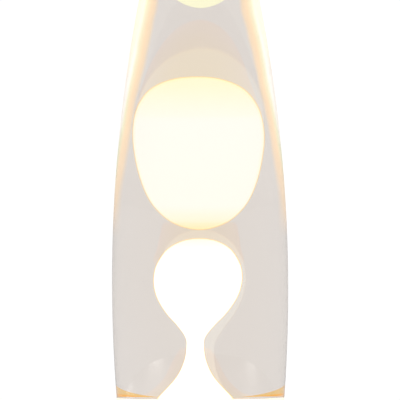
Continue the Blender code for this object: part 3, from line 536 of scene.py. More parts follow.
base_low, base_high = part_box("lampholder_base")
insert_low, insert_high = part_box("contact_insert")
sleeve_low, sleeve_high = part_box("lampholder_shell")
screw_low, screw_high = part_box("screw_contact")
base_bore = base_high.x - HOLDER_WALL
holder_base = turned(rounded((hole, base_low.z), (base_high.x, base_low.z, HOLDER_WALL),
                             (base_high.x, base_high.z), (base_bore, base_high.z),
                             (base_bore, insert_low.z - CLEARANCE), (hole, insert_low.z - CLEARANCE)),
                     SMALL_STEPS)
add_piece("holder_base_cup", holder_base, phenolic, "base", "phenolic", "lampholder_base")

insert = turned(rounded((0, insert_low.z), (insert_high.x, insert_low.z),
                        (insert_high.x, insert_high.z, PLATE_EDGE), (0, insert_high.z)), SMALL_STEPS)
add_piece("holder_insert", insert, steatite, "base", "ceramic_white", "contact_insert")

shell_outer = SHELL_BORE + BRASS_WALL
shell_start = screw_low.z + BRASS_WALL
rows = [shell_start + (screw_high.z - screw_low.z - BRASS_WALL) * row / SHELL_ROWS
        for row in range(SHELL_ROWS + 1)]
shell = turned([(SHELL_BORE, screw_low.z), (screw_high.x, screw_low.z), (screw_high.x, rows[0]),
                *[(shell_outer, row) for row in rows], *[(SHELL_BORE, row) for row in rows[::-1]]],
               SMALL_STEPS)
add_piece("holder_screw_shell", shell, brass, "base", "brass", "screw_contact")

inner = base_high.x + CLEARANCE
mouth_radius = shell_outer + CLEARANCE
ribbed = sleeve_high.z - sleeve_low.z - 2 * HOLDER_WALL
sleeve_rows = [sleeve_low.z + ribbed * row / SLEEVE_ROWS for row in range(SLEEVE_ROWS + 1)]
sleeve = turned(rounded((inner, sleeve_low.z), *[(sleeve_high.x, row) for row in sleeve_rows],
                        (sleeve_high.x, sleeve_high.z, HOLDER_WALL), (mouth_radius, sleeve_high.z),
                        (mouth_radius, sleeve_high.z - HOLDER_WALL), (inner, sleeve_high.z - HOLDER_WALL)),
                RIB_COUNT * RIB_FACETS)
for corner in sleeve.verts:
    if corner.co.xy.length > inner + HOLDER_WALL / 2 and corner.co.z < sleeve_rows[-1]:
        angle = math.atan2(corner.co.y, corner.co.x)
        groove = RIB_DEPTH * (0.5 - 0.5 * math.cos(RIB_COUNT * angle)) ** 3
        corner.co.xy *= 1 - groove / corner.co.xy.length
add_piece("holder_sleeve", sleeve, phenolic, "base", "phenolic", "lampholder_shell")

tongue_low, tongue_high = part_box("centre_contact")
reach = tongue_high.x
spring_height = tongue_high.z - tongue_low.z
bent_strip = [(-reach, 0), (reach, 0), (reach, TONGUE_WALL), (-reach / 2, TONGUE_WALL),
              (-reach / 2, spring_height - 2 * TONGUE_WALL), (-reach / 4, spring_height - TONGUE_WALL),
              (reach / 2, spring_height - TONGUE_WALL), (reach / 2, spring_height),
              (-reach / 3, spring_height), (-reach * 3 / 4, spring_height - 2 * TONGUE_WALL),
              (-reach * 3 / 4, TONGUE_WALL), (-reach, TONGUE_WALL)]
tongue = prism(bent_strip, -tongue_high.y, tongue_high.y)
tongue.transform(Matrix.Translation((0, 0, tongue_low.z)) @ Matrix.Rotation(math.pi / 2, 4, "X"))
add_piece("centre_tongue", tongue, brass, "base", "brass", "centre_contact")


# Bulb -------------------------------------------------------------------------------
# Small screw reflector lamp. Solder tip, black glass insulator and pressed brass cap hold a
# blown bulb, silvered inside up to its shoulder and acid-frosted over the front.
BULB_SCREW_RADIUS = 6.9 * MM
SCREW_PITCH = 2.82 * MM
SCREW_DEPTH = 0.42 * MM
SCREW_ROWS = 48
CAP_WALL = 0.4 * MM
SKIRT_HEIGHT = 6 * MM
SKIRT_SLOPE = 2 * MM
PLUG_RADIUS = 2.8 * MM
PLUG_RIM = 2 * MM
GLASS_WALL = 0.8 * MM
BELLY_RADIUS = 19.5 * MM
BELLY_DROP = 10.7 * MM               # of the widest ring below the crown
DOME_RADIUS = 0.72 * BELLY_RADIUS
DOME_DROP = 2.2 * MM
FROST_DROP = 9 * MM                  # the silvering starts this far below the crown
NECK_GLASS_RADIUS = 9.8 * MM
NECK_GLASS_TOP = 31 * MM             # above the solder tip
NECK_GLASS_STEP = 3 * MM
BULB_FILLET = 6 * MM
STEM_FOOT_HEIGHT = 6 * MM
STEM_WAIST = 3.5 * MM
STEM_TOP = 2.2 * MM
STEM_FILLET = 2 * MM
FINE_SIDES = 32                      # facets round the smallest parts
WIRE_RADIUS = 0.3 * MM
WIRE_SIDES = 8
FILAMENT_TURNS = 6
FILAMENT_STEPS = 12                  # to a turn
FILAMENT_LOOP = 0.9 * MM
FILAMENT_DROP = 3 * MM
FILAMENT_FOOT = 1.2 * MM

# Dull silver bead with a pitted skin
tin = cloudy("soft solder", 0.7 * MM, [(0.3, "#8f8f8c"), (0.7, "#c2c1bb")],
             {"Metallic": 1.0, "Roughness": 0.4}, relief=(0.3, 0.05 * MM))

# Poured glass, glossy, nearly black
vitrite = cloudy("black insulating glass", 2 * MM, [(0.3, "#0b0b10"), (0.7, "#1a1a22")],
                 {"IOR": 1.52, "Roughness": 0.1}, detail=2)

tip_low, tip_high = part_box("bulb_tip")
tip = turned([(0, tip_low.z), (tip_high.x / 3, tip_low.z), (tip_high.x * 3 / 4, tip_low.z + CLEARANCE),
              (tip_high.x, tip_high.z - CLEARANCE), (tip_high.x, tip_high.z), (0, tip_high.z)], FINE_SIDES)
add_piece("solder_tip", tip, tin, "bulb_tip", "brass", "bulb_tip")

plug_low, plug_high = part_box("bulb_insulator")
plug = turned([(0, plug_low.z), (PLUG_RADIUS, plug_low.z), (plug_high.x, plug_high.z - PLUG_RIM),
               (plug_high.x, plug_high.z), (0, plug_high.z)], SMALL_STEPS)
add_piece("insulator_cone", plug, vitrite, "bulb", "black_glass", "bulb_insulator")

sheet_low, sheet_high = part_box("bulb_screw_cap")
screw_top = sheet_high.z - SKIRT_HEIGHT
rows = [sheet_low.z + (screw_top - sheet_low.z) * row / SCREW_ROWS for row in range(SCREW_ROWS + 1)]
screw_cap = turned([*[(BULB_SCREW_RADIUS, row) for row in rows], (sheet_high.x, screw_top + SKIRT_SLOPE),
                    (sheet_high.x, sheet_high.z), (sheet_high.x - CAP_WALL, sheet_high.z),
                    (sheet_high.x - CAP_WALL, screw_top + SKIRT_SLOPE),
                    *[(BULB_SCREW_RADIUS - CAP_WALL, row) for row in rows[::-1]]], SMALL_STEPS)
screw_cap = helix(screw_cap, SCREW_PITCH, SCREW_DEPTH, 0, sheet_low.z, screw_top)
add_piece("bulb_cap", screw_cap, brass, "bulb", "brass", "bulb_screw_cap")

# Mirror coat seen through thin glass
silvered = cloudy("silvered bulb glass", 8 * MM, [(0.3, "#c9c9cb"), (0.7, "#e8e8e8")],
                  {"Metallic": 1.0, "Roughness": 0.12, "Coat Weight": 0.6, "Coat Roughness": 0.02})

# Etched, glowing warm from inside
frosted = cloudy("frosted bulb glass", 0.5 * MM, [(0.3, "#f3ede0"), (0.7, "#fffaf0")],
                 {"IOR": 1.5, "Roughness": 0.45, "Emission Color": linear("#ffd9a6"),
                  "Emission Strength": 2.5}, relief=(0.2, 0.03 * MM))

bulb_low, bulb_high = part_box("bulb_envelope")
throat = sheet_high.x - CAP_WALL - CLEARANCE


def bulb_outline(inset):
    """Outline of the bulb's glass from the crown of its dome down to its throat."""
    neck = NECK_GLASS_RADIUS - inset
    return rounded((0, bulb_high.z - inset),
                   (DOME_RADIUS - inset, bulb_high.z - DOME_DROP - inset, BULB_FILLET),
                   (BELLY_RADIUS - inset, bulb_high.z - BELLY_DROP, BULB_FILLET),
                   (neck, tip_low.z + NECK_GLASS_TOP, 4 / 3 * BULB_FILLET),
                   (neck, sheet_high.z + NECK_GLASS_STEP, BULB_FILLET / 3),
                   (throat - inset, sheet_high.z + MM), (throat - inset, bulb_low.z), segments=10)


envelope = turned(bulb_outline(0) + bulb_outline(GLASS_WALL)[::-1], SMALL_STEPS)
for face in envelope.faces:
    if face.calc_center_median().z > bulb_high.z - FROST_DROP:
        face.material_index = 1      # frosted
bulb = add_piece("bulb_glass", envelope, silvered, "bulb", "bulb_glass", "bulb_envelope")
bulb.data.materials.append(frosted)

stem_low, stem_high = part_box("bulb_stem")
# Pressed lead glass, clear with seeds
stem_glass = cloudy("stem glass", 1.5 * MM, [(0.2, "#e9f0ee"), (0.6, "#ffffff")],
                    {"IOR": 1.56, "Roughness": 0.02, "Transmission Weight": 1.0}, detail=2)
stem = turned(rounded((0, stem_low.z), (stem_high.x, stem_low.z),
                      (STEM_WAIST, stem_low.z + STEM_FOOT_HEIGHT, STEM_FILLET),
                      (STEM_TOP, stem_high.z, STEM_FILLET / 2), (0, stem_high.z)), FINE_SIDES)
add_piece("stem_mount", stem, stem_glass, "bulb", "bulb_glass", "bulb_stem")

tungsten, place = new_material("tungsten wire")          # drawn, dark grey, white-hot
heat = add_node(tungsten, "TexNoise", {"Scale": per(2 * MM)}, {"Vector": place})
dull = add_node(tungsten, "MapRange", {"To Min": 0.35, "To Max": 0.55}, {"Value": heat})
finish_material(tungsten, {"Metallic": 1.0, "Base Color": linear("#8f8f94"),
                           "Emission Color": linear("#ffd39a"), "Emission Strength": 20.0},
                {"Roughness": dull})


def wire(path, radius, closed, sides):
    """Return the bmesh of a round wire along a list of points."""
    mesh = bmesh.new()
    rings = []
    count = len(path)
    side = None
    for index, point in enumerate(path):
        ahead = path[(index + 1) % count] if closed else path[min(index + 1, count - 1)]
        back = path[index - 1] if closed else path[max(index - 1, 0)]
        along = (ahead - back).normalized()
        side = along.orthogonal() if side is None else side - along * side.dot(along)
        side.normalize()
        up = along.cross(side)
        turns = [math.tau * step / sides for step in range(sides)]
        rings.append([mesh.verts.new(point + radius * (side * math.cos(turn) + up * math.sin(turn)))
                      for turn in turns])
    last = rings[-1]
    for before, after in zip(rings, rings[1:]):
        for step in range(sides):
            other = (step + 1) % sides
            mesh.faces.new((before[step], before[other], after[other], after[step]))
    if closed:                       # the last ring joins the first at its nearest point
        near = min(range(sides), key=lambda step: (rings[0][0].co - last[step].co).length)
        for step in range(sides):
            far = (step + near) % sides
            mesh.faces.new((last[far], last[(far + 1) % sides], rings[0][(step + 1) % sides], rings[0][step]))
    else:
        mesh.faces.new(rings[0])
        mesh.faces.new(last)
    bmesh.ops.recalc_face_normals(mesh, faces=mesh.faces)
    return mesh


coil_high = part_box("filament")[1]
half_span = coil_high.x - 2 * WIRE_RADIUS
axis_z = coil_high.z - WIRE_RADIUS - FILAMENT_LOOP
foot_z = stem_high.z + CLEARANCE
step_count = FILAMENT_TURNS * FILAMENT_STEPS
path = [Vector((-FILAMENT_FOOT, 0, foot_z)), Vector((-half_span, 0, axis_z - FILAMENT_DROP))]
for step in range(step_count + 1):
    angle = math.tau * step / FILAMENT_STEPS
    path.append(Vector((half_span * (2 * step / step_count - 1), FILAMENT_LOOP * math.sin(angle),
                        axis_z + FILAMENT_LOOP * math.cos(angle))))
path += [Vector((half_span, 0, axis_z - FILAMENT_DROP)), Vector((FILAMENT_FOOT, 0, foot_z))]
coil = wire(path, WIRE_RADIUS, False, WIRE_SIDES)
add_piece("filament_coil", coil, tungsten, "bulb", "filament_wire", "filament")


# Bottle -----------------------------------------------------------------------------
# Blown clear soda-lime glass with a punt underneath, a long arched side, a bead on the
# neck and a crown ring at the mouth. It lifts out of the cup in one piece with its filling.
BOTTLE_WALL = 2.4 * MM
BULGE_HEIGHT = 91.7 * MM             # from the bottom to the widest ring
BOTTLE_HEEL = 7 * MM
FLOOR_HEIGHT = 5 * MM
PUNT_RADIUS = 22 * MM
PUNT_DEPTH = 2.5 * MM
SHOULDER_RADIUS = 15.7 * MM
SHOULDER_DROP = 16 * MM
NECK_RADIUS = 12.4 * MM
BEAD_RADIUS = 14.2 * MM
BEAD_TOP = 7.5 * MM
BEAD_WIDTH = 2.5 * MM
LOCK_RADIUS = 13.3 * MM
LOCK_WIDTH = 3 * MM
MOUTH_BORE = 8 * MM
MOUTH_FILLET = 0.5 * MM
PUNT_STEPS = 12
SIDE_STEPS = 110
# Heights that shape the glass's painted edge glow and its painted amber line.
TAPER_LOW = 47 * MM                  # the edge light widens between these, above the widest ring
TAPER_HIGH = 136 * MM
RISE_LOW = 24 * MM                   # and gains its strength between these
RISE_HIGH = 96 * MM
POOL_LIGHT_LOW = 1.2 * MM            # the amber line's lower and upper edge above the pool
POOL_LIGHT_HIGH = 6.2 * MM

mouth_z = glass_high.z
bulge_z = glass_low.z + BULGE_HEIGHT
shoulder_z = mouth_z - SHOULDER_DROP
side_start_z = glass_low.z + 2 * BOTTLE_HEEL
floor_z = glass_low.z + FLOOR_HEIGHT
side_fall = glass_high.x - SHOULDER_RADIUS
side_rise = shoulder_z - bulge_z
side_arc = (side_rise ** 2 + side_fall ** 2) / (2 * side_fall)


def side_radius(height, inset=0.0):
    """Radius of the bottle's side at a height, measured inset into the glass."""
    return glass_high.x - side_arc + math.sqrt((side_arc - inset) ** 2 - (height - bulge_z) ** 2)


def side_points(low, high, count, inset):
    """Points up the bottle's side between two heights."""
    heights = [low + (high - low) * step / count for step in range(count + 1)]
    return [(side_radius(height, inset), height) for height in heights]


# Painted glow: the glass gets emission and a warm tint where it is seen edge on, standing in
# for light that the wall leads up from the bulb: white to amber up the taper, and an amber line just over the
# wax pool.
pool_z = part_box("liquid_lower")[0].z - CLEARANCE
pool_light_low = pool_z + POOL_LIGHT_LOW
pool_light_high = pool_z + POOL_LIGHT_HIGH
# Its emission and warm base tint at grazing angles are a painted glow, not the glass's own colour.
clear_glass, place = new_material("blown soda-lime glass")   # clear, faintly uneven from blowing
height = add_node(clear_glass, "SeparateXYZ", {}, {0: place})
edge = add_node(clear_glass, "LayerWeight", {"Blend": 0.5})
uneven = add_node(clear_glass, "TexNoise", {"Scale": per(25 * MM), "Detail": 2}, {"Vector": place})
taper = add_node(clear_glass, "MapRange", {"From Min": bulge_z + TAPER_LOW, "From Max": bulge_z + TAPER_HIGH,
                                           "To Min": 0.56, "To Max": 0.26}, {"Value": height.outputs["Z"]})
wavy = add_node(clear_glass, "MapRange", {"To Min": -0.05, "To Max": 0.05}, {"Value": uneven})
taper = add_node(clear_glass, "Math", {"operation": "ADD"}, {0: taper, 1: wavy})
painted_glow_share = add_node(clear_glass, "Math", {"operation": "SUBTRACT"}, {0: edge.outputs["Facing"], 1: taper})
rise = add_node(clear_glass, "MapRange", {"From Min": bulge_z + RISE_LOW, "From Max": bulge_z + RISE_HIGH},
                {"Value": height.outputs["Z"]})
painted_glow_share = add_node(clear_glass, "Math", {"operation": "MULTIPLY"}, {0: painted_glow_share, 1: rise})
painted_glow_share = add_node(clear_glass, "MapRange", {"From Max": 0.35}, {"Value": painted_glow_share})
painted_glow_tint = add_node(clear_glass, "ValToRGB", {"stops": [(0.0, "#ffffff"), (0.15, "#fbe6c8"),
                                                    (0.35, "#f6dcb6"), (0.6, "#ffeccb"),
                                                    (0.85, "#ffffff")]},
                {"Fac": painted_glow_share})
painted_edge_glow = add_node(clear_glass, "ValToRGB", {"stops": [(0.0, "#000000"), (0.15, "#7c5d30"),
                                                     (0.35, "#977c50"), (0.6, "#898e65"),
                                                     (0.9, "#b3ada2")]},
                 {"Fac": painted_glow_share})
# Painted amber line: a glow on the glass just over the wax pool, where it is seen edge on.
pool_edge = add_node(clear_glass, "MapRange",
                     {"From Min": pool_light_low, "From Max": pool_light_high, "To Min": 0.1, "To Max": 0.84},
                     {"Value": height.outputs["Z"]})
painted_pool_line = add_node(clear_glass, "Math", {"operation": "SUBTRACT"}, {0: edge.outputs["Facing"], 1: pool_edge})
over = add_node(clear_glass, "Math", {"operation": "GREATER_THAN", 1: pool_light_low},
                {0: height.outputs["Z"]})
painted_pool_line = add_node(clear_glass, "Math", {"operation": "MULTIPLY"}, {0: painted_pool_line, 1: over})
under = add_node(clear_glass, "Math", {"operation": "LESS_THAN", 1: pool_light_high},
                 {0: height.outputs["Z"]})
painted_pool_line = add_node(clear_glass, "Math", {"operation": "MULTIPLY"}, {0: painted_pool_line, 1: under})
painted_pool_line = add_node(clear_glass, "MapRange", {"From Max": 0.05}, {"Value": painted_pool_line})
painted_glow_tint = add_node(clear_glass, "Mix", {"data_type": "RGBA", "B": linear("#f7c561")},
                {"Factor": painted_pool_line, "A": painted_glow_tint})
painted_edge_glow = add_node(clear_glass, "Mix", {"data_type": "RGBA", "B": linear("#613800")},
                 {"Factor": painted_pool_line, "A": painted_edge_glow})
finish_material(clear_glass,
                {"IOR": 1.5, "Roughness": 0.0, "Transmission Weight": 1.0, "Emission Strength": 1.0},
                {"Base Color": painted_glow_tint.outputs["Result"], "Emission Color": painted_edge_glow.outputs["Result"]})

punt = [(PUNT_RADIUS * step / PUNT_STEPS, glass_low.z + PUNT_DEPTH * (1 - (step / PUNT_STEPS) ** 2))
        for step in range(PUNT_STEPS + 1)]
bead_low = mouth_z - BEAD_TOP - BEAD_WIDTH
outside = rounded(*punt, (side_radius(glass_low.z), glass_low.z, BOTTLE_HEEL),
                  *side_points(side_start_z, shoulder_z, SIDE_STEPS, 0),
                  (NECK_RADIUS, bead_low - BEAD_WIDTH, 2 * BEAD_WIDTH),
                  (NECK_RADIUS, bead_low, BEAD_WIDTH / 4),
                  (BEAD_RADIUS, bead_low + BEAD_WIDTH / 4, BEAD_WIDTH / 2),
                  (BEAD_RADIUS, mouth_z - BEAD_TOP - BEAD_WIDTH / 4, BEAD_WIDTH / 2),
                  (NECK_RADIUS, mouth_z - BEAD_TOP, BEAD_WIDTH / 4),
                  (NECK_RADIUS, mouth_z - LOCK_WIDTH * 1.3, LOCK_WIDTH / 4),
                  (LOCK_RADIUS, mouth_z - LOCK_WIDTH, LOCK_WIDTH / 4),
                  (LOCK_RADIUS, mouth_z, LOCK_WIDTH / 4), (MOUTH_BORE, mouth_z, MOUTH_FILLET))
inside = rounded((0, floor_z), (side_radius(floor_z, BOTTLE_WALL), floor_z, BOTTLE_HEEL - BOTTLE_WALL),
                 *side_points(side_start_z, shoulder_z, SIDE_STEPS, BOTTLE_WALL),
                 (MOUTH_BORE, bead_low, 2 * BEAD_WIDTH))
bottle = turned(outside + inside[::-1])
add_piece("bottle_glass", bottle, clear_glass, "bottle", "clear_glass", "glass_bottle")


# Crown cap --------------------------------------------------------------------------
# Tinplate crown crimped over the mouth with 21 flutes, lacquered inside and out, and a
# soft disc in it that seals the liquid in for good.
FLUTES = 21
FLUTE_STEPS = 12
FLUTE_DEPTH = 0.4 * MM
TIN_WALL = 0.4 * MM
liner_low, liner_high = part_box("crown_liner")
crown_low, crown_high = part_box("crown_cap")

# Off-white and matt, a little cloudy
pvc = cloudy("soft moulded PVC", 3 * MM, [(0.3, "#d6d5cd"), (0.7, "#e6e5df")],
             {"IOR": 1.53, "Roughness": 0.6})

tinplate, place = new_material("lacquered tinplate")     # bright silver with a warm lacquer
grain = add_node(tinplate, "TexNoise", {"Scale": per(0.6 * MM), "Detail": 3}, {"Vector": place})
cloud = add_node(tinplate, "TexNoise", {"Scale": per(5 * MM), "Detail": 3}, {"Vector": place})
tone = add_node(tinplate, "ValToRGB", {"stops": [(0.3, "#bfbcb2"), (0.7, "#dcdad2")]}, {"Fac": cloud})
dull = add_node(tinplate, "MapRange", {"To Min": 0.2, "To Max": 0.4}, {"Value": grain})
finish_material(tinplate, {"Metallic": 1.0, "Coat Weight": 0.4, "Coat Roughness": 0.1},
                {"Base Color": tone, "Roughness": dull})

disc = turned(rounded((0, liner_low.z), (liner_high.x, liner_low.z),
                      (liner_high.x, liner_high.z, TIN_WALL / 2), (0, liner_high.z)), SMALL_STEPS)
add_piece("sealing_disc", disc, pvc, "bottle", "cap_liner", "crown_liner")

under = crown_high.z - TIN_WALL
crown_bore = LOCK_RADIUS + CLEARANCE
crown_radius = crown_high.x - FLUTE_DEPTH
crown = turned(rounded((0, under), (crown_bore - TIN_WALL, under),
                       (crown_bore + FLUTE_DEPTH, under - 2 * TIN_WALL),
                       (crown_radius - TIN_WALL, crown_low.z), (crown_radius, crown_low.z),
                       (crown_bore + TIN_WALL + FLUTE_DEPTH, under - TIN_WALL, 2 * TIN_WALL),
                       (crown_bore - TIN_WALL, crown_high.z, 3 * TIN_WALL), (0, crown_high.z)),
               FLUTES * FLUTE_STEPS)
for corner in crown.verts:
    drop = max(under - corner.co.z, 0) / (under - crown_low.z)
    angle = math.atan2(corner.co.y, corner.co.x)
    corner.co.xy *= 1 + FLUTE_DEPTH * drop * math.cos(FLUTES * angle) / crown_radius
add_piece("crown", crown, tinplate, "bottle", "tinplate", "crown_cap")


# Heat coil --------------------------------------------------------------------------
# Ring of coiled stainless wire lying on the bottle's floor in the wax. It takes up the
# bulb's heat, spreads it and gathers the cooled wax again.
COIL_TURNS = 44
COIL_STEPS = 12                      # to a turn
COIL_WIRE = 0.8 * MM
coil_low, coil_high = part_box("heat_coil")
coil_loop = (coil_high.z - coil_low.z) / 2 - COIL_WIRE
coil_radius = coil_high.x - COIL_WIRE - coil_loop
centre = (coil_low.z + coil_high.z) / 2

# Drawn bright, a little straw coloured
spring = cloudy("stainless spring wire", 1.5 * MM, [(0.3, "#a7a39a"), (0.7, "#c9c6bf")],
                {"Metallic": 1.0, "Roughness": 0.25})

path = []
for step in range(COIL_TURNS * COIL_STEPS):
    turn = math.tau * step / COIL_STEPS
    angle = turn / COIL_TURNS
    radius = coil_radius + coil_loop * math.cos(turn)
    path.append(Vector((radius * math.cos(angle), radius * math.sin(angle),
                        centre + coil_loop * math.sin(turn))))
coil = wire(path, COIL_WIRE / 2, True, WIRE_SIDES)
add_piece("spring_ring", coil, spring, "bottle", "zinc_steel", "heat_coil")


# Wax --------------------------------------------------------------------------------
# Paraffin mix, molten and lit through by the bulb under it: a pool with the column that
# it sends up, a drop on its way up, and one flattened under the liquid's surface.
WAX_STEPS = 12
BED_STEPS = 20
COLUMN_HEIGHT = 241 * MM             # from the pool to the liquid's surface
# Outlines by radius and height above the pool, lean by height and sideways shift, in millimetres
POOL_WAX = ((0, 79.0), (6.4, 77.7), (11.8, 73.6), (15.4, 66.4), (16.4, 59.8), (15.8, 53.6), (14.0, 48.0),
            (10.7, 41.8), (6.8, 36.4), (3.6, 30.6), (3.2, 25.6), (4.1, 18.6), (7.1, 10.6), (14.2, 0.3))
MIDDLE_WAX = ((0, 158.5), (9.4, 157.2), (17.6, 152.2), (22.6, 143.0), (24.4, 131.0), (23.6, 118.5),
              (21.2, 106.0), (17.6, 96.2), (12.2, 88.8), (6.2, 84.9), (0, 83.5))
TOP_WAX = ((8.5, 241.0), (13.0, 225.0), (14.0, 209.0), (9.5, 197.5), (0, 192.8))
WAX_LEAN = ((0, -2.0), (30.6, -1.9), (60.0, -0.8), (83.4, -0.1), (129.6, -0.4), (158.3, -1.1),
            (192.8, 0.6), (241.0, 0.4))
LEAN_RADIUS = 30 * MM                # the pool's wax beyond this doesn't lean
WALL_FILM = 0.03 * MM                # liquid left between the wax and the glass
# The wax's glow is painted light, and its colours and strength are set by height.
GLOW_DEPTH = 2 * MM                  # the glow's colours start this far down in the pool
level_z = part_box("wax_crest")[1].z
stretch = (level_z - pool_z) / COLUMN_HEIGHT


def smooth(points, steps):
    """Run a smooth curve through a few outline points in millimetres above the pool.

    At an end on the axis the curve crosses the axis level, so the turned tip is round.
    """
    path = [Vector((radius * MM, pool_z + height * MM * stretch)) for radius, height in points]
    ends = []
    for end, inner in ((path[0], path[1]), (path[-1], path[-2])):
        ends.append(Vector((-inner.x, inner.y)) if end.x == 0 else 2 * end - inner)
    path = [ends[0], *path, ends[1]]
    curve = []
    for a, b, c, d in zip(path, path[1:], path[2:], path[3:]):
        for step in range(steps):
            t = step / steps
            point = 0.5 * (2 * b + (c - a) * t + (2 * a - 5 * b + 4 * c - d) * t ** 2
                           + (3 * b - a - 3 * c + d) * t ** 3)
            curve.append((max(point.x, 0), point.y))
    curve.append(tuple(path[-2]))
    return curve


def leaned(mesh):
    """Shift the wax above the pool sideways, as it drifts on its way up."""
    placed = [(pool_z + height * MM * stretch, shift * MM) for height, shift in WAX_LEAN]
    for corner in mesh.verts:
        height = corner.co.z
        if height < pool_z - CLEARANCE or corner.co.xy.length > LEAN_RADIUS:
            continue
        for (low, low_shift), (high, high_shift) in zip(placed, placed[1:]):
            if height <= high or high == placed[-1][0]:
                share = min(max((height - low) / (high - low), 0), 1)
                corner.co.x += low_shift + (high_shift - low_shift) * share
                break
    return mesh


# Painted glow: the wax's emission stands in for the bulb's light shining through it. It is brighter low down
# near the bulb and warmer under the drop.
wax, place = new_material("molten paraffin wax")         # opaque, glowing cream, hottest low down
height = add_node(wax, "SeparateXYZ", {}, {0: place})
above = add_node(wax, "MapRange", {"From Min": pool_z - GLOW_DEPTH, "From Max": level_z},
                 {"Value": height.outputs["Z"]})
painted_glow_strength = add_node(wax, "ValToRGB", {"stops": [(0.0, 0.8), (0.02, 0.9), (0.3, 0.7), (0.34, 0.52), (1.0, 0.5)]},
                  {"Fac": above})
painted_wax_glow = add_node(wax, "ValToRGB", {"stops": [(0.0, "#ffe6bc"), (0.02, "#fffbe8"),
                                            (0.33, "#fffff4"), (0.35, "#ffefb8"),
                                            (0.372, "#fffbe0"), (0.4, "#fffff4"),
                                            (0.57, "#fffff5"), (0.645, "#fffedd"),
                                            (0.8, "#fefcd7"), (1.0, "#fefbd4")]},
                {"Fac": above})
swirl = add_node(wax, "TexNoise", {"Scale": per(12 * MM), "Detail": 3}, {"Vector": place})
tone = add_node(wax, "ValToRGB", {"stops": [(0.3, "#2f2a1f"), (0.7, "#3b3527")]}, {"Fac": swirl})
painted_glow_boost = add_node(wax, "MapRange", {"From Min": floor_z, "From Max": pool_z, "To Min": 3.2, "To Max": 2.0},
                {"Value": height.outputs["Z"]})
painted_glow_power = add_node(wax, "Math", {"operation": "MULTIPLY"}, {0: painted_glow_strength, 1: painted_glow_boost})
finish_material(wax, {"IOR": 1.44, "Roughness": 0.6, "Specular IOR Level": 0.0},
                {"Base Color": tone, "Emission Color": painted_wax_glow,
                 "Emission Strength": painted_glow_power})

bed_inset = BOTTLE_WALL + WALL_FILM
low = floor_z + 2 * CLEARANCE
bed = rounded((0, low), (side_radius(low, bed_inset), low, BOTTLE_HEEL - BOTTLE_WALL),
              *side_points(side_start_z, pool_z, BED_STEPS, bed_inset))
column = smooth(POOL_WAX, WAX_STEPS)
column[-1] = (column[-1][0], pool_z)
add_piece("pool_wax", leaned(turned(bed + column[::-1])), wax, "bottle", "wax", "wax_pool")
add_piece("drop_wax", leaned(turned(smooth(MIDDLE_WAX, WAX_STEPS))), wax, "bottle", "wax", "wax_drop")
crest = [(0, level_z), *smooth(TOP_WAX, WAX_STEPS)]
add_piece("crest_wax", leaned(turned(crest)), wax, "bottle", "wax", "wax_crest")


# Warm plume -------------------------------------------------------------------------
# Liquid round the wax, heated by it and clouded with fine wax, so that it looks warmer
# the deeper it is, with a faint painted orange glow. Next to the wax it is a thin film with a painted amber
# glow where it is seen edge on.
PLUME = ((0, 187.0), (6.5, 184.5), (12.0, 178.0), (16.5, 168.0), (19.5, 158.0), (22.0, 148.0), (23.0, 138.0),
         (5.0, 130.0), (5.0, 90.0), (13.0, 87.0), (14.5, 82.0), (15.5, 75.0), (16.0, 66.0),
         (2.0, 62.0), (2.0, 28.0), (5.5, 25.0), (8.5, 19.0), (12.0, 10.0), (18.0, 3.0), (24.0, 0.6), (0, 0.6))
PLUME_STEPS = 4
FILM = 0.3 * MM
plume, place = new_material("wax-clouded liquid")        # bends no light of its own, warm in depth
cloud = add_node(plume, "TexNoise", {"Scale": per(30 * MM), "Detail": 2}, {"Vector": place})
tone = add_node(plume, "ValToRGB", {"stops": [(0.3, "#fffdf9"), (0.7, "#ffffff")]}, {"Fac": cloud})
depth = add_node(plume, "VolumeAbsorption", {"Color": linear("#fff700"), "Density": 3.6})
# The faint orange emission is a painted glow in the liquid round the wax.
finish_material(plume, {"IOR": 1.0, "Roughness": 0.0, "Transmission Weight": 1.0,
                        "Emission Color": linear("#ff6a00"), "Emission Strength": 0.025},
                {"Base Color": tone}, depth)
add_piece("warm_plume", leaned(turned(smooth(PLUME, PLUME_STEPS))), plume, "bottle", "liquid")

# Painted glow: the film's emission and amber tint rise where it is seen edge on, painting an amber fringe
# round the wax.
film, place = new_material("wax film")                   # clear face on, amber seen edge on
edge = add_node(film, "LayerWeight", {"Blend": 0.5})
cloud = add_node(film, "TexNoise", {"Scale": per(10 * MM), "Detail": 2}, {"Vector": place})
cloud = add_node(film, "MapRange", {"To Min": 0.58, "To Max": 0.72}, {"Value": cloud})
painted_fringe_share = add_node(film, "MapRange", {}, {"Value": edge.outputs["Facing"], "From Min": cloud})
tone = add_node(film, "ValToRGB", {"stops": [(0.0, "#ffffff"), (1.0, "#ffe2aa")]}, {"Fac": painted_fringe_share})
painted_edge_glow = add_node(film, "ValToRGB", {"stops": [(0.0, "#000000"), (1.0, "#7c6527")]}, {"Fac": painted_fringe_share})
finish_material(film, {"IOR": 1.0, "Roughness": 0.0, "Transmission Weight": 1.0, "Emission Strength": 1.0},
                {"Base Color": tone, "Emission Color": painted_edge_glow})
for name, outline in (("drop_painted_glow_film", smooth(MIDDLE_WAX, WAX_STEPS)),
                      ("column_painted_glow_film", [*column, (0, pool_z - MM)])):
    coat = turned(outline)
    coat.normal_update()
    for corner in coat.verts:
        corner.co += corner.normal * FILM
    add_piece(name, leaned(coat), film, "bottle", "liquid")


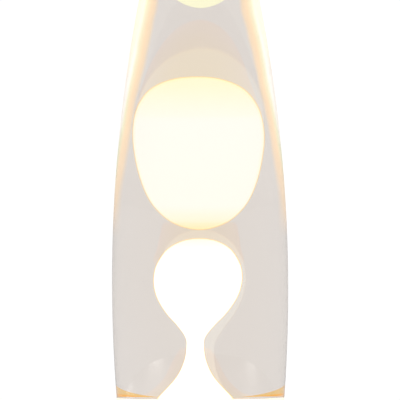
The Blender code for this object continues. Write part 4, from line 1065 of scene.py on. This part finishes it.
# Liquid -----------------------------------------------------------------------------
# Clear water-based filling round the wax, up to the air left under the crown. It wets
# the glass, so its surface runs just inside the wall's own.
WETTING = 0.2 * MM
LIQUID_INSET = BOTTLE_WALL - WETTING
water, place = new_material("clear filling liquid")      # water clear, faintly warm in depth
cloud = add_node(water, "TexNoise", {"Scale": per(80 * MM), "Detail": 1}, {"Vector": place})
tone = add_node(water, "ValToRGB", {"stops": [(0.2, "#fdfcfa"), (0.8, "#ffffff")]}, {"Fac": cloud})
depth = add_node(water, "VolumeAbsorption", {"Color": linear("#f2d9b0"), "Density": 2.0})
finish_material(water, {"IOR": 1.34, "Roughness": 0.0, "Transmission Weight": 1.0},
                {"Base Color": tone}, depth)
wet_floor = floor_z - WETTING
filling = rounded((0, wet_floor),
                  (side_radius(floor_z, LIQUID_INSET), wet_floor, BOTTLE_HEEL - LIQUID_INSET),
                  *side_points(side_start_z, level_z, SIDE_STEPS, LIQUID_INSET), (0, level_z))
add_piece("filling", turned(filling), water, "bottle", "liquid", "liquid_lower", "liquid_upper")


# Cap --------------------------------------------------------------------------------
# Tall cap spun from the same aluminium sheet. It slips over the crown and wedges on the
# bottle's taper, and lifts straight off.
CAP_TOP_RADIUS = 17.7 * MM
CAP_CORNER = 4 * MM
cap_low, cap_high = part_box("cap_shell")
ceiling = cap_high.z - SHELL_WALL
cap_bore = CAP_TOP_RADIUS - SHELL_WALL
cap = turned(rounded((0, ceiling), (cap_bore, ceiling, CAP_CORNER - SHELL_WALL),
                     (cap_high.x - SHELL_WALL, cap_low.z), (cap_high.x, cap_low.z, SPUN_EDGE),
                     (CAP_TOP_RADIUS, cap_high.z, CAP_CORNER), (0, cap_high.z), segments=12))
add_piece("cap_cone", cap, aluminium, "cap", "spun_aluminium", "cap_shell")


# Studio -----------------------------------------------------------------------------
# Plain pale floor under an even white surround, with soft panels that draw long
# highlights on the metal. What the bottle bends into view is a warm pale grey.
FLOOR_RADIUS = 1.5
FLOOR_SIDES = 96
FLOOR_THICKNESS = 10 * MM
FLOOR_GAP = 0.2 * MM                 # under the pads
FADE_START = 0.2                     # the floor turns to pure white between these radii
FADE_END = 0.8
PANEL_DISTANCE = 1.4
PANEL_AIM = 200 * MM                 # height that the panels point at
# Each panel: azimuth and elevation it shines from, in degrees, its width and height in metres, watts
PANELS = ((-62, 15, 0.5, 1.2, 4.2), (72, 15, 0.35, 1.2, 3.0), (155, 20, 0.5, 1.2, 4.2),
          (-115, 15, 0.35, 1.2, 2.8), (0, 85, 0.8, 0.8, 1.5))

# The floor shows paler than the glass and the metal see it, so that it meets the white
# surround without an edge and the lamp still stands on something.
floor_paint, place = new_material("matt white floor")    # faintly uneven, fades into the surround
speckle = add_node(floor_paint, "TexNoise", {"Scale": per(40 * MM), "Detail": 2}, {"Vector": place})
tone = add_node(floor_paint, "ValToRGB", {"stops": [(0.3, "#faf9f8"), (0.7, "#fdfcfb")]}, {"Fac": speckle})
ray = add_node(floor_paint, "LightPath")
tone = add_node(floor_paint, "Mix", {"data_type": "RGBA", "A": linear("#dddad7")},
                {"Factor": ray.outputs["Is Camera Ray"], "B": tone})
reach = add_node(floor_paint, "VectorMath", {"operation": "LENGTH"}, {0: place})
fade = add_node(floor_paint, "MapRange", {"From Min": FADE_START, "From Max": FADE_END},
                {"Value": reach.outputs["Value"]})
fade = add_node(floor_paint, "Math", {"operation": "MULTIPLY"}, {0: fade, 1: ray.outputs["Is Camera Ray"]})
finish_material(floor_paint,
                {"Roughness": 0.9, "Specular IOR Level": 0.1, "Emission Color": linear("#ffffff")},
                {"Base Color": tone.outputs["Result"], "Emission Strength": fade})
floor_mesh = bpy.data.meshes.new("floor")
disc = prism(circle(FLOOR_RADIUS, FLOOR_SIDES), -FLOOR_THICKNESS, -FLOOR_GAP)
disc.to_mesh(floor_mesh)
disc.free()
floor_mesh.materials.append(floor_paint)
floor = bpy.data.objects.new("floor", floor_mesh)
bpy.context.scene.collection.objects.link(floor)

# The panels are flagged off from the bottle and its filling, which only show the surround.
lit = bpy.data.collections.new("lit_by_panels")
for piece in bpy.context.scene.objects:
    if piece.type == "MESH" and not {clear_glass, water, plume, film} & set(piece.data.materials):
        lit.objects.link(piece)

for number, (azimuth, elevation, width, tall, watts) in enumerate(PANELS):
    panel = bpy.data.lights.new(f"panel_{number + 1}", "AREA")
    panel.shape = "RECTANGLE"
    panel.size = width
    panel.size_y = tall
    panel.energy = watts
    light = bpy.data.objects.new(panel.name, panel)
    round_it, up = math.radians(azimuth), math.radians(elevation)
    away = Vector((math.sin(round_it) * math.cos(up), -math.cos(round_it) * math.cos(up), math.sin(up)))
    light.location = away * PANEL_DISTANCE + Vector((0, 0, PANEL_AIM))
    light.rotation_euler = away.to_track_quat("Z", "Y").to_euler()
    light.visible_camera = False
    light.visible_transmission = False
    light.light_linking.receiver_collection = lit
    bpy.context.scene.collection.objects.link(light)

# The surround is just over white to the camera, and a dimmer warm grey to the glass and the metal.
surround = bpy.data.worlds.new("surround")
bpy.context.scene.world = surround
surround.use_nodes = True
surround.node_tree.nodes.clear()
ray = add_node(surround, "LightPath")
colour = add_node(surround, "Mix", {"data_type": "RGBA", "A": linear("#e3dfdd"), "B": (1.05, 1.05, 1.05, 1)},
                  {"Factor": ray.outputs["Is Camera Ray"]})
backdrop = add_node(surround, "Background", {}, {"Color": colour.outputs["Result"]})
add_node(surround, "OutputWorld", {}, {"Surface": backdrop})
bpy.context.scene.view_settings.view_transform = "Standard"
